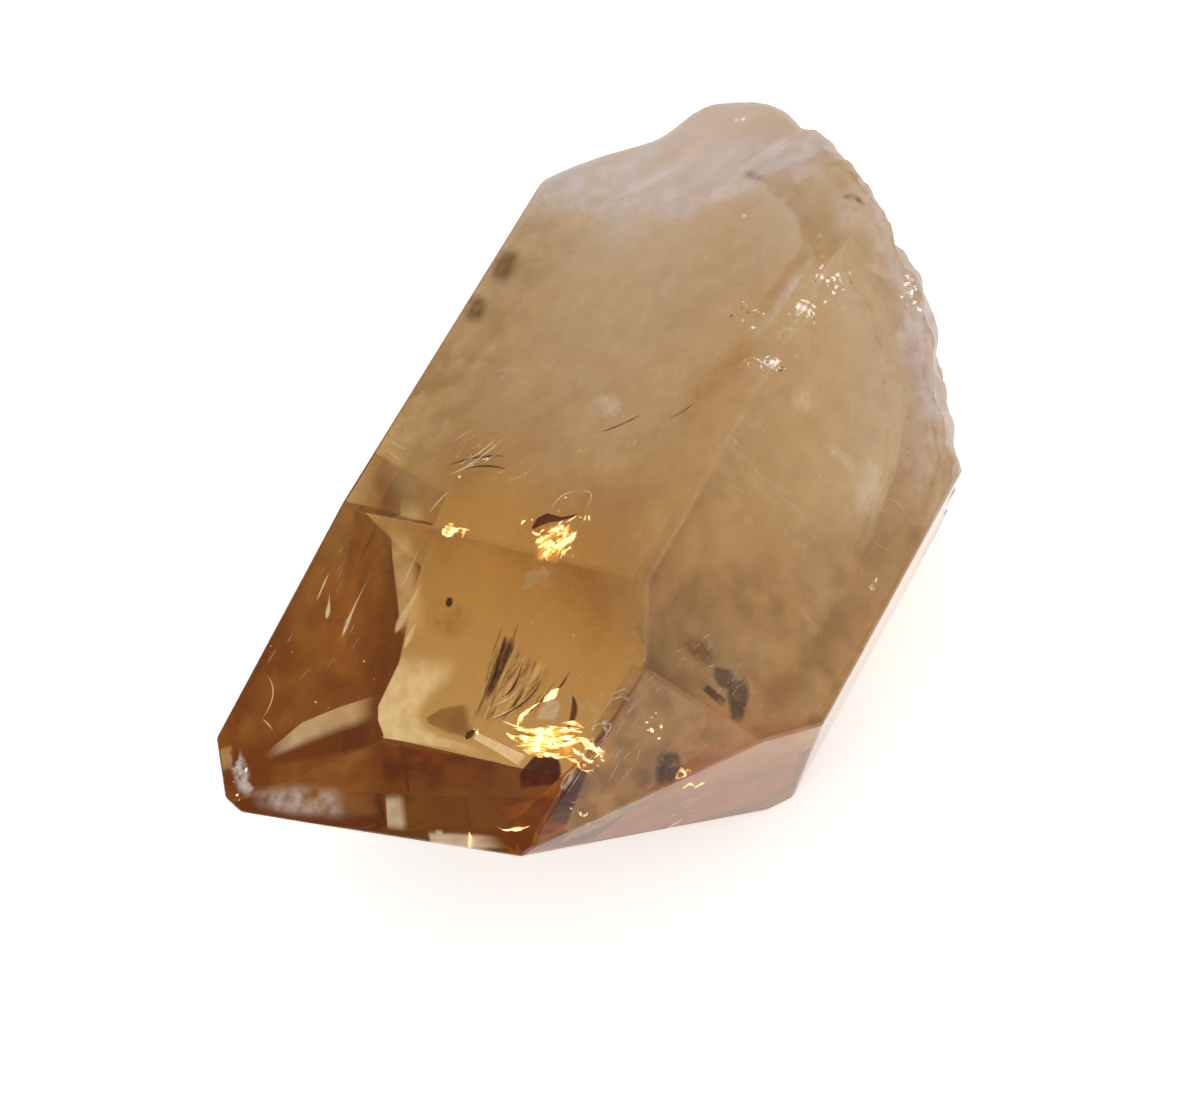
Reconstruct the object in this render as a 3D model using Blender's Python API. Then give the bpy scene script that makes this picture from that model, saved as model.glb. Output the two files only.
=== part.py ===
"""Citrine crystal: one natural quartz point, lying on a prism face.

The crystal's long axis runs along X, with the point towards -X and the broken end towards +X.
Every flat face is given as a goniometer reads it: its turn about the long axis, from straight
up towards -Y, its lean towards the point, and its distance from the heart of the crystal.
"""

import math

import bmesh
import bpy
from mathutils import Vector

MM = 0.001

# Heart of the crystal, from which the faces are measured, in the frame of the part (mm)
HEART = (-2.45, -2.63, 18.0)

# Prism faces: turn (degrees), lean (degrees), distance (mm)
PRISM = {
    "broad": (0.0, 0.0, 18.0),
    "striated": (60.0, 0.0, 25.6),
    "narrow": (124.3, 0.0, 25.3),
    "rest": (180.0, 0.0, 18.0),
    "back": (-120.0, 0.0, 31.0),
    "rear_edge": (-50.0, 0.0, 26.5),
}

# Faces of the point
POINT = {
    "large": (0.0, 27.6, 21.6),
    "pinkish": (62.0, 35.3, 31.5),
    "under": (121.8, 39.6, 28.5),
    "keel": (169.4, 49.5, 25.9),
    "lower_keel": (176.4, 42.0, 25.2),
    "lower_back": (-120.0, 10.0, 30.5),
    "upper_back": (-60.0, 38.5, 44.1),
    "keel_sliver": (4.1, 41.6, 28.2),
    "tip_chip": (-105.0, 72.0, 45.4),
}

# Worn break surfaces of the broken end, which round into one another
BREAK = {
    "shoulder": (-5.5, -19.3, 27.0),
    "end": (165.0, -80.0, 42.6),
    "rear_corner": (-101.6, -32.0, 31.4),
    "rear_slope": (-108.0, -46.0, 34.6),
    "front_corner": (102.7, -56.0, 35.4),
    "under_corner": (117.3, -34.3, 30.6),
}
BREAK_SOFTNESS = 1.4

# Single humps and hollows of the broken end: place from the heart, height and spread (mm)
HUMPS = {
    "knob": ((40.8, 9.4, 13.0), 1.5, 2.3),
    "knee": ((36.5, -12.5, 14.5), 1.3, 2.6),
    "notch": ((31.3, -21.2, 10.0), -0.9, 2.4),
}

# Worn edges of the flat faces
EDGE_WEAR = 0.35
EDGE_STEPS = 1

# Grid of the broken end's surface
RINGS = 44
SPOKES = 96
REACH = math.radians(112.0)
FAR = 90.0


def face_normal(turn, lean):
    """Outward direction of a face from its turn and lean."""
    t, tip = math.radians(turn), math.radians(lean)
    return Vector((-math.sin(tip), -math.sin(t) * math.cos(tip), math.cos(t) * math.cos(tip)))


def faceted_body():
    """Block of quartz cut back to every flat face, with worn edges."""
    bm = bmesh.new()
    bmesh.ops.create_cube(bm, size=200.0)
    for turn, lean, distance in (*PRISM.values(), *POINT.values()):
        normal = face_normal(turn, lean)
        geometry = bm.verts[:] + bm.edges[:] + bm.faces[:]
        cut = bmesh.ops.bisect_plane(
            bm, geom=geometry, plane_co=normal * distance, plane_no=normal, clear_outer=True, dist=1e-4
        )
        rim = [item for item in cut["geom_cut"] if isinstance(item, bmesh.types.BMEdge)]
        if rim:
            bmesh.ops.edgenet_fill(bm, edges=rim)
    bmesh.ops.dissolve_degenerate(bm, dist=1e-3, edges=bm.edges[:])
    bmesh.ops.recalc_face_normals(bm, faces=bm.faces[:])
    bmesh.ops.bevel(
        bm, geom=bm.edges[:], offset=EDGE_WEAR, segments=EDGE_STEPS, profile=0.5,
        affect="EDGES", clamp_overlap=True,
    )
    return bm


def lumps(x, y, z):
    """Height of the broken end's waves, ledges and pits at a point (mm).

    The back of the end is worn smooth, and the front, towards -Y, is left in crumbled ledges.
    """
    wave = 0.75 * math.sin(0.34 * y + 0.21 * z + 0.6) * math.cos(0.29 * z - 0.17 * y + 0.4)
    ledge = 0.42 * math.sin(0.71 * y - 0.52 * z + 1.9) + 0.30 * math.sin(0.93 * z + 0.61 * x - 0.4)
    grain = 0.22 * math.sin(1.9 * y + 1.3 * z) * math.sin(1.7 * z - 1.1 * x + 0.8)
    crumbled = 1.0 / (1.0 + math.exp((y + 8.0) / 4.0))
    relief = wave + ledge * (0.35 + 0.65 * crumbled) + grain * (0.1 + 0.9 * crumbled)
    for (at_x, at_y, at_z), height, spread in HUMPS.values():
        apart = (x - at_x) ** 2 + (y - at_y) ** 2 + (z - at_z) ** 2
        relief += height * math.exp(-apart / (2.0 * spread ** 2))
    return relief


def softest(distances, softness):
    """Least of several distances, with the change from one to the next rounded off."""
    least = min(distances)
    total = sum(math.exp((least - value) / softness) for value in distances)
    return least - softness * math.log(total)


def break_radius(direction):
    """Distance from the heart to the broken end along a direction (mm)."""
    ways = [FAR]
    for turn, lean, distance in BREAK.values():
        facing = face_normal(turn, lean).dot(direction)
        if facing > 0.05:
            ways.append(min(distance / facing, FAR))
    radius = softest(ways, BREAK_SOFTNESS)
    point = direction * radius
    return radius + lumps(point.x, point.y, point.z)


def broken_end():
    """Closed shell whose +X side is the broken surface, and which clears the rest of the crystal."""
    bm = bmesh.new()
    pole = bm.verts.new(Vector((1.0, 0.0, 0.0)) * break_radius(Vector((1.0, 0.0, 0.0))))
    rings = []
    for i in range(1, RINGS + 1):
        polar = REACH * i / RINGS
        ring = []
        for j in range(SPOKES):
            around = 2.0 * math.pi * j / SPOKES
            direction = Vector((
                math.cos(polar),
                math.sin(polar) * math.cos(around),
                math.sin(polar) * math.sin(around),
            ))
            ring.append(bm.verts.new(direction * break_radius(direction)))
        rings.append(ring)
    far_pole = bm.verts.new(Vector((-FAR, 0.0, 0.0)))
    for j in range(SPOKES):
        k = (j + 1) % SPOKES
        bm.faces.new((pole, rings[0][j], rings[0][k]))
        for inner, outer in zip(rings, rings[1:]):
            bm.faces.new((inner[j], outer[j], outer[k], inner[k]))
        bm.faces.new((far_pole, rings[-1][k], rings[-1][j]))
    bmesh.ops.recalc_face_normals(bm, faces=bm.faces[:])
    return bm


def add_object(name, bm):
    """Object with the mesh moved from the heart's millimetres to world metres."""
    bmesh.ops.translate(bm, verts=bm.verts[:], vec=Vector(HEART))
    bmesh.ops.scale(bm, verts=bm.verts[:], vec=Vector((MM, MM, MM)))
    mesh = bpy.data.meshes.new(name)
    bm.to_mesh(mesh)
    bm.free()
    obj = bpy.data.objects.new(name, mesh)
    bpy.context.collection.objects.link(obj)
    return obj


def citrine():
    """Clear amber quartz."""
    material = bpy.data.materials.new("citrine")
    material.use_nodes = True
    shader = material.node_tree.nodes["Principled BSDF"]
    shader.inputs["Base Color"].default_value = (0.62, 0.42, 0.20, 1.0)
    shader.inputs["Roughness"].default_value = 0.12
    shader.inputs["Metallic"].default_value = 0.0
    shader.inputs["IOR"].default_value = 1.544
    shader.inputs["Transmission Weight"].default_value = 0.9
    return material


def main():
    """Build the crystal."""
    for obj in list(bpy.data.objects):
        bpy.data.objects.remove(obj, do_unlink=True)

    crystal = add_object("citrine_crystal", faceted_body())
    crystal.data.materials.append(citrine())

    shell = add_object("broken_end_cutter", broken_end())
    shell.hide_render = True
    shell.display_type = "WIRE"

    trim = crystal.modifiers.new("Broken end", "BOOLEAN")
    trim.operation = "INTERSECT"
    trim.solver = "EXACT"
    trim.object = shell


main()
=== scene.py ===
"""Looks of the citrine crystal: one clear amber quartz point with a milky broken end.

The crystal's long axis runs along X, with the point towards -X. Lengths are in millimetres,
measured from the heart of the crystal, until a mesh is put into the scene in metres. What lies
inside the crystal is placed along the photograph's lines of sight, by pixels of the photograph
and by the share of the way that the line runs inside the crystal.
"""

from __future__ import annotations

import itertools
import logging
import math
from dataclasses import dataclass, field
from enum import Enum

import bpy
import numpy as np
from mathutils import Matrix


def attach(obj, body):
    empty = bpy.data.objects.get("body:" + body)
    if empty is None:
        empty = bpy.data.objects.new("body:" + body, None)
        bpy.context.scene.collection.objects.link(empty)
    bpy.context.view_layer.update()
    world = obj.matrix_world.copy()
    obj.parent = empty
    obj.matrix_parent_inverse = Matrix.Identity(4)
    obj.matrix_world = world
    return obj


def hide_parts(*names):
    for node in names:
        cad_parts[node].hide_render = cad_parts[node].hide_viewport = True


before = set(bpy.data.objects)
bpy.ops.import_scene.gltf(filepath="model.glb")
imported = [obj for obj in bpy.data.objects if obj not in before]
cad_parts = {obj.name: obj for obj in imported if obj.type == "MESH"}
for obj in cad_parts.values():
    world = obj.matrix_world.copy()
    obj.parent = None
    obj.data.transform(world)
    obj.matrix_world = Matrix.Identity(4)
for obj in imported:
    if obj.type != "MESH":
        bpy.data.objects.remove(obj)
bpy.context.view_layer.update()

LOG = logging.getLogger("citrine")

MM = 0.001
HEART = np.array([-2.45, -2.63, 18.0])
QUARTZ_IOR = 1.544
PICTURE = (1200, 1113)

# Depth below the surface that inner sheets and strokes keep (mm), and flakes, by their own size
SHEET_MARGIN = 0.05
STROKE_MARGIN = 0.02
FLAKE_MARGIN = 1.1

Pixel = tuple[float, float]
Colour = tuple[float, float, float]


@dataclass(frozen=True)
class Face:
    """A flat face as a goniometer reads it.

    Attributes:
        turn: Degrees about the long axis, from straight up towards -Y.
        lean: Degrees towards the point.
        distance: Millimetres from the heart.
    """

    turn: float
    lean: float
    distance: float

    def normal(self) -> np.ndarray:
        """Outward unit normal."""
        turn, lean = math.radians(self.turn), math.radians(self.lean)
        return np.array([-math.sin(lean), -math.sin(turn) * math.cos(lean), math.cos(turn) * math.cos(lean)])


FACES: dict[str, Face] = {
    "broad": Face(0.0, 0.0, 18.0),
    "striated": Face(60.0, 0.0, 25.6),
    "narrow": Face(124.3, 0.0, 25.3),
    "rest": Face(180.0, 0.0, 18.0),
    "back": Face(-120.0, 0.0, 31.0),
    "rear_edge": Face(-50.0, 0.0, 26.5),
    "large": Face(0.0, 27.6, 21.6),
    "pinkish": Face(62.0, 35.3, 31.5),
    "under": Face(121.8, 39.6, 28.5),
    "keel": Face(169.4, 49.5, 25.9),
    "lower_keel": Face(176.4, 42.0, 25.2),
    "lower_back": Face(-120.0, 10.0, 30.5),
    "upper_back": Face(-60.0, 38.5, 44.1),
    "keel_sliver": Face(4.1, 41.6, 28.2),
    "tip_chip": Face(-105.0, 72.0, 45.4),
}

BREAKS: dict[str, Face] = {
    "shoulder": Face(-5.5, -19.3, 27.0),
    "end": Face(165.0, -80.0, 42.6),
    "rear_corner": Face(-101.6, -32.0, 31.4),
    "rear_slope": Face(-108.0, -46.0, 34.6),
    "front_corner": Face(102.7, -56.0, 35.4),
    "under_corner": Face(117.3, -34.3, 30.6),
}

# Single humps and hollows of the broken end: place, height and spread
HUMPS: dict[str, tuple[tuple[float, float, float], float, float]] = {
    "knob": ((40.8, 9.4, 13.0), 1.5, 2.3),
    "knee": ((36.5, -12.5, 14.5), 1.3, 2.6),
    "notch": ((31.3, -21.2, 10.0), -0.9, 2.4),
}


def make_object(name: str, points: np.ndarray, polygons: list, smooth: bool = True) -> bpy.types.Object:
    """Put a mesh given from the heart in millimetres into the scene in metres.

    Args:
        name: Name of the object.
        points: Vertices, one row each.
        polygons: Vertex indices of each polygon.
        smooth: Whether its faces are shaded smooth.

    Returns:
        The linked object, at the origin.
    """
    mesh = bpy.data.meshes.new(name)
    mesh.from_pydata(((points + HEART) * MM).tolist(), [], [list(p) for p in polygons])
    mesh.polygons.foreach_set("use_smooth", np.full(len(mesh.polygons), smooth))
    mesh.update()
    made = bpy.data.objects.new(name, mesh)
    bpy.context.scene.collection.objects.link(made)
    return made


def grid_polygons(rows: int, columns: int, closed: bool = False) -> np.ndarray:
    """Quads of a grid of rows by columns points, which may close on itself along its rows."""
    i, j = np.meshgrid(np.arange(rows - 1), np.arange(columns if closed else columns - 1), indexing="ij")
    k = (j + 1) % columns
    quads = np.stack([i * columns + j, (i + 1) * columns + j, (i + 1) * columns + k, i * columns + k], axis=-1)
    return quads.reshape(-1, 4)


def write_uv(mesh: bpy.types.Mesh, uv: np.ndarray) -> None:
    """Give a mesh the UV map "sheet" from one row (across, along) for each vertex."""
    layer = mesh.uv_layers.new(name="sheet")
    corner = np.zeros(len(mesh.loops), dtype=np.int32)
    mesh.loops.foreach_get("vertex_index", corner)
    layer.uv.foreach_set("vector", uv[corner].astype(np.float32).ravel())


def grid_uv(across: int, along: int, count: int) -> np.ndarray:
    """Rows (across, along) of the UV map of a number of equal grids."""
    u, v = np.meshgrid(np.linspace(0.0, 1.0, across), np.linspace(0.0, 1.0, along))
    return np.tile(np.stack([u, v], axis=-1).reshape(-1, 2), (count, 1))


def write_value(mesh: bpy.types.Mesh, name: str, values: np.ndarray, domain: str = "POINT") -> None:
    """Give a mesh a named attribute with one number for each vertex or face."""
    mesh.attributes.new(name, "FLOAT", domain).data.foreach_set("value", values.astype(np.float32))


def along_line(corners: tuple[Pixel, ...], at: np.ndarray) -> np.ndarray:
    """Points of a line through corners, at shares 0 to 1 of the way from its first to its last."""
    line = np.array(corners, dtype=float)
    steps = np.linspace(0.0, 1.0, len(line))
    return np.stack([np.interp(at, steps, line[:, 0]), np.interp(at, steps, line[:, 1])], axis=-1)


@dataclass(frozen=True)
class PhotoCamera:
    """The photograph's camera, from the heart of the crystal."""

    azimuth: float = -27.5
    elevation: float = 45.0
    roll: float = -39.5
    distance: float = 303.0
    lens: float = 100.0
    sensor: float = 36.0
    aim: tuple[float, float, float] = (-11.0, -12.85, 18.0)

    def axes(self) -> np.ndarray:
        """Camera's right, up and back directions, one row each."""
        a, e, r = (math.radians(v) for v in (self.azimuth, self.elevation, self.roll))
        back = np.array([math.sin(a) * math.cos(e), -math.cos(a) * math.cos(e), math.sin(e)])
        level = np.array([math.cos(a), math.sin(a), 0.0])
        upright = np.cross(back, level)
        right = math.cos(r) * level + math.sin(r) * upright
        up = math.cos(r) * upright - math.sin(r) * level
        return np.array([right, up, back])

    def eye(self) -> np.ndarray:
        """Place of the camera."""
        return np.array(self.aim) + self.axes()[2] * self.distance

    def rays(self, pixels: np.ndarray) -> np.ndarray:
        """Unit directions of the lines of sight through pixels."""
        right, up, back = self.axes()
        focal = self.lens / self.sensor * PICTURE[0]
        x = (pixels[..., :1] - PICTURE[0] / 2.0) / focal
        y = (pixels[..., 1:] - PICTURE[1] / 2.0) / focal
        ray = x * right - y * up - back
        return ray / np.linalg.norm(ray, axis=-1, keepdims=True)

    def place(self) -> None:
        """Put the camera into the scene."""
        data = bpy.data.cameras.new("camera")
        data.lens = self.lens
        data.sensor_width = self.sensor
        data.clip_start = 0.01
        held = bpy.data.objects.new("camera", data)
        bpy.context.scene.collection.objects.link(held)
        matrix = Matrix(self.axes().T.tolist()).to_4x4()
        matrix.translation = ((self.eye() + HEART) * MM).tolist()
        held.matrix_world = matrix
        bpy.context.scene.camera = held


@dataclass(frozen=True)
class Sight:
    """The photograph's lines of sight, bent where they enter the crystal."""

    camera: PhotoCamera = field(default_factory=PhotoCamera)

    def inside(self, pixels: np.ndarray, share: np.ndarray | float, through: str = "") -> np.ndarray:
        """Points inside the crystal that show at pixels of the photograph.

        A line of sight enters at the farthest of the planes it meets from outside, bends there by
        Snell's law, and leaves at the nearest plane ahead. The point lies on the bent line, at the
        given share of the way between.

        Args:
            pixels: Pixels of the photograph, in the last axis.
            share: Share of the way inside, 0 at the entry and 1 at the exit.
            through: Name of the face that the lines enter by, or none for the one they meet.

        Returns:
            The points, in the last axis.
        """
        planes = [*FACES.values(), *BREAKS.values()]
        normals = np.array([face.normal() for face in planes])
        distances = np.array([face.distance for face in planes])
        rays = self.camera.rays(pixels)
        eye = self.camera.eye()
        facing = rays @ normals.T
        reach = (distances - normals @ eye) / np.where(np.abs(facing) < 1e-9, 1e-9, facing)
        if through:
            entry = np.full(pixels.shape[:-1], list(FACES).index(through))
        else:
            entry = np.where(facing < 0.0, reach, -np.inf).argmax(axis=-1)
        start = eye + rays * np.take_along_axis(reach, entry[..., None], axis=-1)
        normal = normals[entry]
        ratio = 1.0 / QUARTZ_IOR
        steep = -(rays * normal).sum(axis=-1, keepdims=True)
        bent = ratio * rays + (ratio * steep - np.sqrt(1.0 - ratio**2 * (1.0 - steep**2))) * normal
        ahead = bent @ normals.T
        left = np.where(ahead > 1e-6, (distances - start @ normals.T) / np.maximum(ahead, 1e-6), np.inf)
        way = np.where(left > 1e-3, left, np.inf).min(axis=-1, keepdims=True)
        return start + bent * way * np.broadcast_to(share, pixels.shape[:-1])[..., None]


class Bench:
    """Places nodes in one node tree and joins them."""

    def __init__(self, tree: bpy.types.NodeTree) -> None:
        """Work on a tree."""
        self.tree = tree

    def feed(self, socket: bpy.types.NodeSocket, value: object) -> None:
        """Join a socket to another, or set its plain value."""
        if isinstance(value, bpy.types.NodeSocket):
            self.tree.links.new(value, socket)
        else:
            socket.default_value = value

    def node(self, kind: str, inputs: dict | None = None, **settings: object) -> bpy.types.Node:
        """Place a node with its settings and inputs.

        Args:
            kind: Type name of the node without its first words.
            inputs: Value or socket for each input name or index.
            settings: Properties of the node.

        Returns:
            The placed node.
        """
        made = self.tree.nodes.new("ShaderNode" + kind)
        for name, value in settings.items():
            setattr(made, name, value)
        for key, value in (inputs or {}).items():
            self.feed(made.inputs[key], value)
        return made

    def maths(self, operation: str, first: object, second: object = 0.0) -> bpy.types.NodeSocket:
        """Result of a sum on one or two numbers."""
        return self.node("Math", {0: first, 1: second}, operation=operation).outputs[0]

    def smooth(self, value: object, low: object, high: object) -> bpy.types.NodeSocket:
        """Smooth step from 0 at the low value to 1 at the high one."""
        inputs = {"Value": value, "From Min": low, "From Max": high}
        return self.node("MapRange", inputs, interpolation_type="SMOOTHSTEP").outputs["Result"]

    def blend(self, factor: object, first: object, second: object) -> bpy.types.NodeSocket:
        """Colour between two, by a factor."""
        made = self.node("Mix", data_type="RGBA")
        for index, value in ((0, factor), (6, first), (7, second)):
            self.feed(made.inputs[index], value)
        return made.outputs[2]

    def place(self, group: bpy.types.NodeTree, **inputs: object) -> bpy.types.NodeSocket:
        """Place a node group with its values, and give back its first output."""
        made = self.node("Group")
        made.node_tree = group
        for name, value in inputs.items():
            self.feed(made.inputs[name.replace("_", " ")], value)
        return made.outputs[0]


def new_group(name: str, inputs: dict[str, float], output: str) -> tuple[Bench, dict]:
    """Start a node group of plain numbers.

    Args:
        name: Name of the group.
        inputs: Default value of each input.
        output: Name of its one output.

    Returns:
        A bench on the group's tree and the sockets of its inputs and output by name.
    """
    tree = bpy.data.node_groups.new(name, "ShaderNodeTree")
    for key, value in inputs.items():
        tree.interface.new_socket(key, in_out="INPUT", socket_type="NodeSocketFloat").default_value = value
    tree.interface.new_socket(output, in_out="OUTPUT", socket_type="NodeSocketFloat")
    bench = Bench(tree)
    entry, leave = tree.nodes.new("NodeGroupInput"), tree.nodes.new("NodeGroupOutput")
    sockets = {key: entry.outputs[key] for key in inputs}
    sockets[output] = leave.inputs[output]
    return bench, sockets


class Groups:
    """Effects that more than one finish uses, each built once."""

    def __init__(self) -> None:
        """Build every group."""
        self.cloud = self.build_cloud()
        self.fade = self.build_fade()

    @staticmethod
    def build_cloud() -> bpy.types.NodeTree:
        """Soft drifting patches: noise on object coordinates, smooth-stepped between two levels."""
        inputs = {"Scale": 200.0, "Detail": 2.0, "Low": 0.3, "High": 0.7, "Shift": 0.0}
        bench, sockets = new_group("cloud", inputs, "Mask")
        place = bench.node("TexCoord").outputs["Object"]
        moved = bench.node("VectorMath", {0: place, 1: sockets["Shift"]}, operation="ADD").outputs[0]
        noise = bench.node(
            "TexNoise", {"Vector": moved, "Scale": sockets["Scale"], "Detail": sockets["Detail"]}
        ).outputs[0]
        bench.feed(sockets["Mask"], bench.smooth(noise, sockets["Low"], sockets["High"]))
        return bench.tree

    @staticmethod
    def build_fade() -> bpy.types.NodeTree:
        """Softening of a sheet's four edges: a smooth step over a width at each, multiplied."""
        inputs = {"Left": 0.1, "Right": 0.1, "Start": 0.1, "End": 0.1}
        bench, sockets = new_group("edge_fade", inputs, "Mask")
        parts = bench.node("SeparateXYZ", {0: bench.node("UVMap", uv_map="sheet").outputs[0]}).outputs
        product: object = 1.0
        for value, width in (
            (parts[0], "Left"), (bench.maths("SUBTRACT", 1.0, parts[0]), "Right"),
            (parts[1], "Start"), (bench.maths("SUBTRACT", 1.0, parts[1]), "End"),
        ):
            product = bench.maths("MULTIPLY", product, bench.smooth(value, 0.0, sockets[width]))
        bench.feed(sockets["Mask"], product)
        return bench.tree


def new_material(name: str) -> tuple[bpy.types.Material, Bench, bpy.types.Node]:
    """Start a material: the material, a bench on its tree, and its shader."""
    made = bpy.data.materials.new(name)
    made.use_nodes = True
    made.cycles.emission_sampling = "NONE"
    return made, Bench(made.node_tree), made.node_tree.nodes["Principled BSDF"]


@dataclass(frozen=True)
class CitrineFinish:
    """Clear amber quartz, glossy at the point, satin along the body and frosted on the break."""

    density: float = 105.0
    absorption: Colour = (0.85, 0.712, 0.384)
    clear: Colour = (1.0, 1.0, 1.0)
    frosted: Colour = (0.97, 0.94, 0.93)
    gloss: float = 0.02
    satin: float = 0.2
    frost: float = 0.22
    satin_span: tuple[float, float] = (-0.010, 0.034)
    growth: float = 0.12
    crumbs: float = 0.4
    relief: float = 0.0004

    def material(self) -> bpy.types.Material:
        """Principled glass with plain transmission, IOR and absorption."""
        made, bench, shader = new_material("citrine_glass")
        place = bench.node("TexCoord").outputs["Object"]
        length = bench.node("SeparateXYZ", {0: place}).outputs[0]
        broken = bench.node("Attribute", attribute_name="broken").outputs["Fac"]
        striated = bench.node("Attribute", attribute_name="striated").outputs["Fac"]
        satin = bench.maths("MULTIPLY", bench.smooth(length, *self.satin_span), self.satin)
        frost = bench.maths("MULTIPLY", broken, self.frost)
        rough = bench.maths("ADD", bench.maths("ADD", satin, frost), self.gloss)
        tint = bench.blend(broken, (*self.clear, 1.0), (*self.frosted, 1.0))
        bench.feed(shader.inputs["Base Color"], tint)
        bench.feed(shader.inputs["Roughness"], rough)
        shader.inputs["IOR"].default_value = QUARTZ_IOR
        shader.inputs["Transmission Weight"].default_value = 1.0

        swell = bench.node("TexNoise", {"Vector": place, "Scale": 70.0, "Detail": 0.0}).outputs[0]
        stretched = bench.node("Mapping", {"Vector": place, "Scale": (1.0, 0.05, 0.05)}).outputs[0]
        lines = bench.node("TexNoise", {"Vector": stretched, "Scale": 700.0, "Detail": 1.0}).outputs[0]
        grain = bench.node("TexNoise", {"Vector": place, "Scale": 700.0, "Detail": 2.0}).outputs[0]
        growth = bench.maths("MULTIPLY", bench.maths("MULTIPLY", lines, striated), self.growth)
        crumbs = bench.maths("MULTIPLY", bench.maths("MULTIPLY", grain, broken), self.crumbs)
        height = bench.maths("ADD", bench.maths("ADD", swell, growth), crumbs)
        relief = bench.node("Bump", {"Strength": 0.6, "Distance": self.relief, "Height": height})
        bench.feed(shader.inputs["Normal"], relief.outputs[0])

        volume = bench.node("VolumeAbsorption", {"Color": (*self.absorption, 1.0), "Density": self.density})
        bench.feed(made.node_tree.nodes["Material Output"].inputs["Volume"], volume.outputs[0])
        return made


@dataclass(frozen=True)
class MilkFinish:
    """Milky haze: bubbles and healed cracks too small to see, denser in drifting clouds, with a painted glow in place
    of the light that reaches it through the glass.
    """

    name: str
    near: Colour = (0.87, 0.80, 0.80)
    far: Colour = (0.80, 0.57, 0.30)
    thin: float = 0.6
    scale: float = 500.0
    depth: float = 0.72
    glow: float = 0.36
    vanish: tuple[float, float] = (0.62, 0.97)

    def material(self, groups: Groups) -> bpy.types.Material:
        """Soft sheet that follows its piece's own milk and tone attributes, with fine patches in it.

        Towards its rim, where it is seen edge on, it thins out, as a cloud has no outline.
        """
        made, bench, shader = new_material(self.name)
        milk = bench.node("Attribute", attribute_name="milk").outputs["Fac"]
        tone = bench.node("Attribute", attribute_name="tone").outputs["Fac"]
        fine = bench.place(groups.cloud, Scale=self.scale, Detail=2.0, Low=0.3, High=0.7, Shift=3.1)
        share = bench.maths("ADD", bench.maths("MULTIPLY", fine, 1.0 - self.thin), self.thin)
        slant = bench.node("LayerWeight", {"Blend": 0.5}).outputs["Facing"]
        rim = bench.maths("SUBTRACT", 1.0, bench.smooth(slant, *self.vanish))
        bench.feed(shader.inputs["Alpha"], bench.maths("MULTIPLY", bench.maths("MULTIPLY", milk, share), rim))
        colour = bench.blend(tone, (*self.far, 1.0), (*self.near, 1.0))
        bench.feed(shader.inputs["Base Color"], bench.blend(self.depth, (0.0, 0.0, 0.0, 1.0), colour))
        # Emission is painted light: the haze glows in place of the light that reaches it inside the crystal.
        bench.feed(shader.inputs["Emission Color"], colour)
        shader.inputs["Emission Strength"].default_value = self.glow
        shader.inputs["Roughness"].default_value = 0.9
        shader.inputs["Specular IOR Level"].default_value = 0.0
        return made


@dataclass(frozen=True)
class VeilFinish:
    """Inner sheet or crack of one tone, broken up by clouds and soft at its edges, with a painted glow in place of the
    light that reaches it.
    """

    name: str
    colour: Colour
    deep: Colour
    opacity: float = 0.8
    glow: float = 0.0
    fade: tuple[float, float, float, float] = (0.2, 0.2, 0.2, 0.2)
    scale: float = 500.0
    low: float = 0.25
    high: float = 0.6

    def material(self, groups: Groups) -> bpy.types.Material:
        """Alpha from edge fade times cloud, and colour between two tones by a finer cloud."""
        made, bench, shader = new_material(self.name)
        left, right, start, end = self.fade
        edge = bench.place(groups.fade, Left=left, Right=right, Start=start, End=end)
        cloud = bench.place(groups.cloud, Scale=self.scale, Detail=3.0, Low=self.low, High=self.high, Shift=0.7)
        fine = bench.place(groups.cloud, Scale=self.scale * 2.6, Detail=2.0, Low=0.3, High=0.7, Shift=2.3)
        body = bench.maths("MULTIPLY", edge, cloud)
        bench.feed(shader.inputs["Alpha"], bench.maths("MULTIPLY", body, self.opacity))
        colour = bench.blend(fine, (*self.deep, 1.0), (*self.colour, 1.0))
        bench.feed(shader.inputs["Base Color"], colour)
        # Emission is painted light, standing in for the light that reaches the sheet inside the crystal.
        bench.feed(shader.inputs["Emission Color"], colour)
        shader.inputs["Emission Strength"].default_value = self.glow
        shader.inputs["Roughness"].default_value = 0.6
        shader.inputs["Specular IOR Level"].default_value = 0.0
        return made


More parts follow.
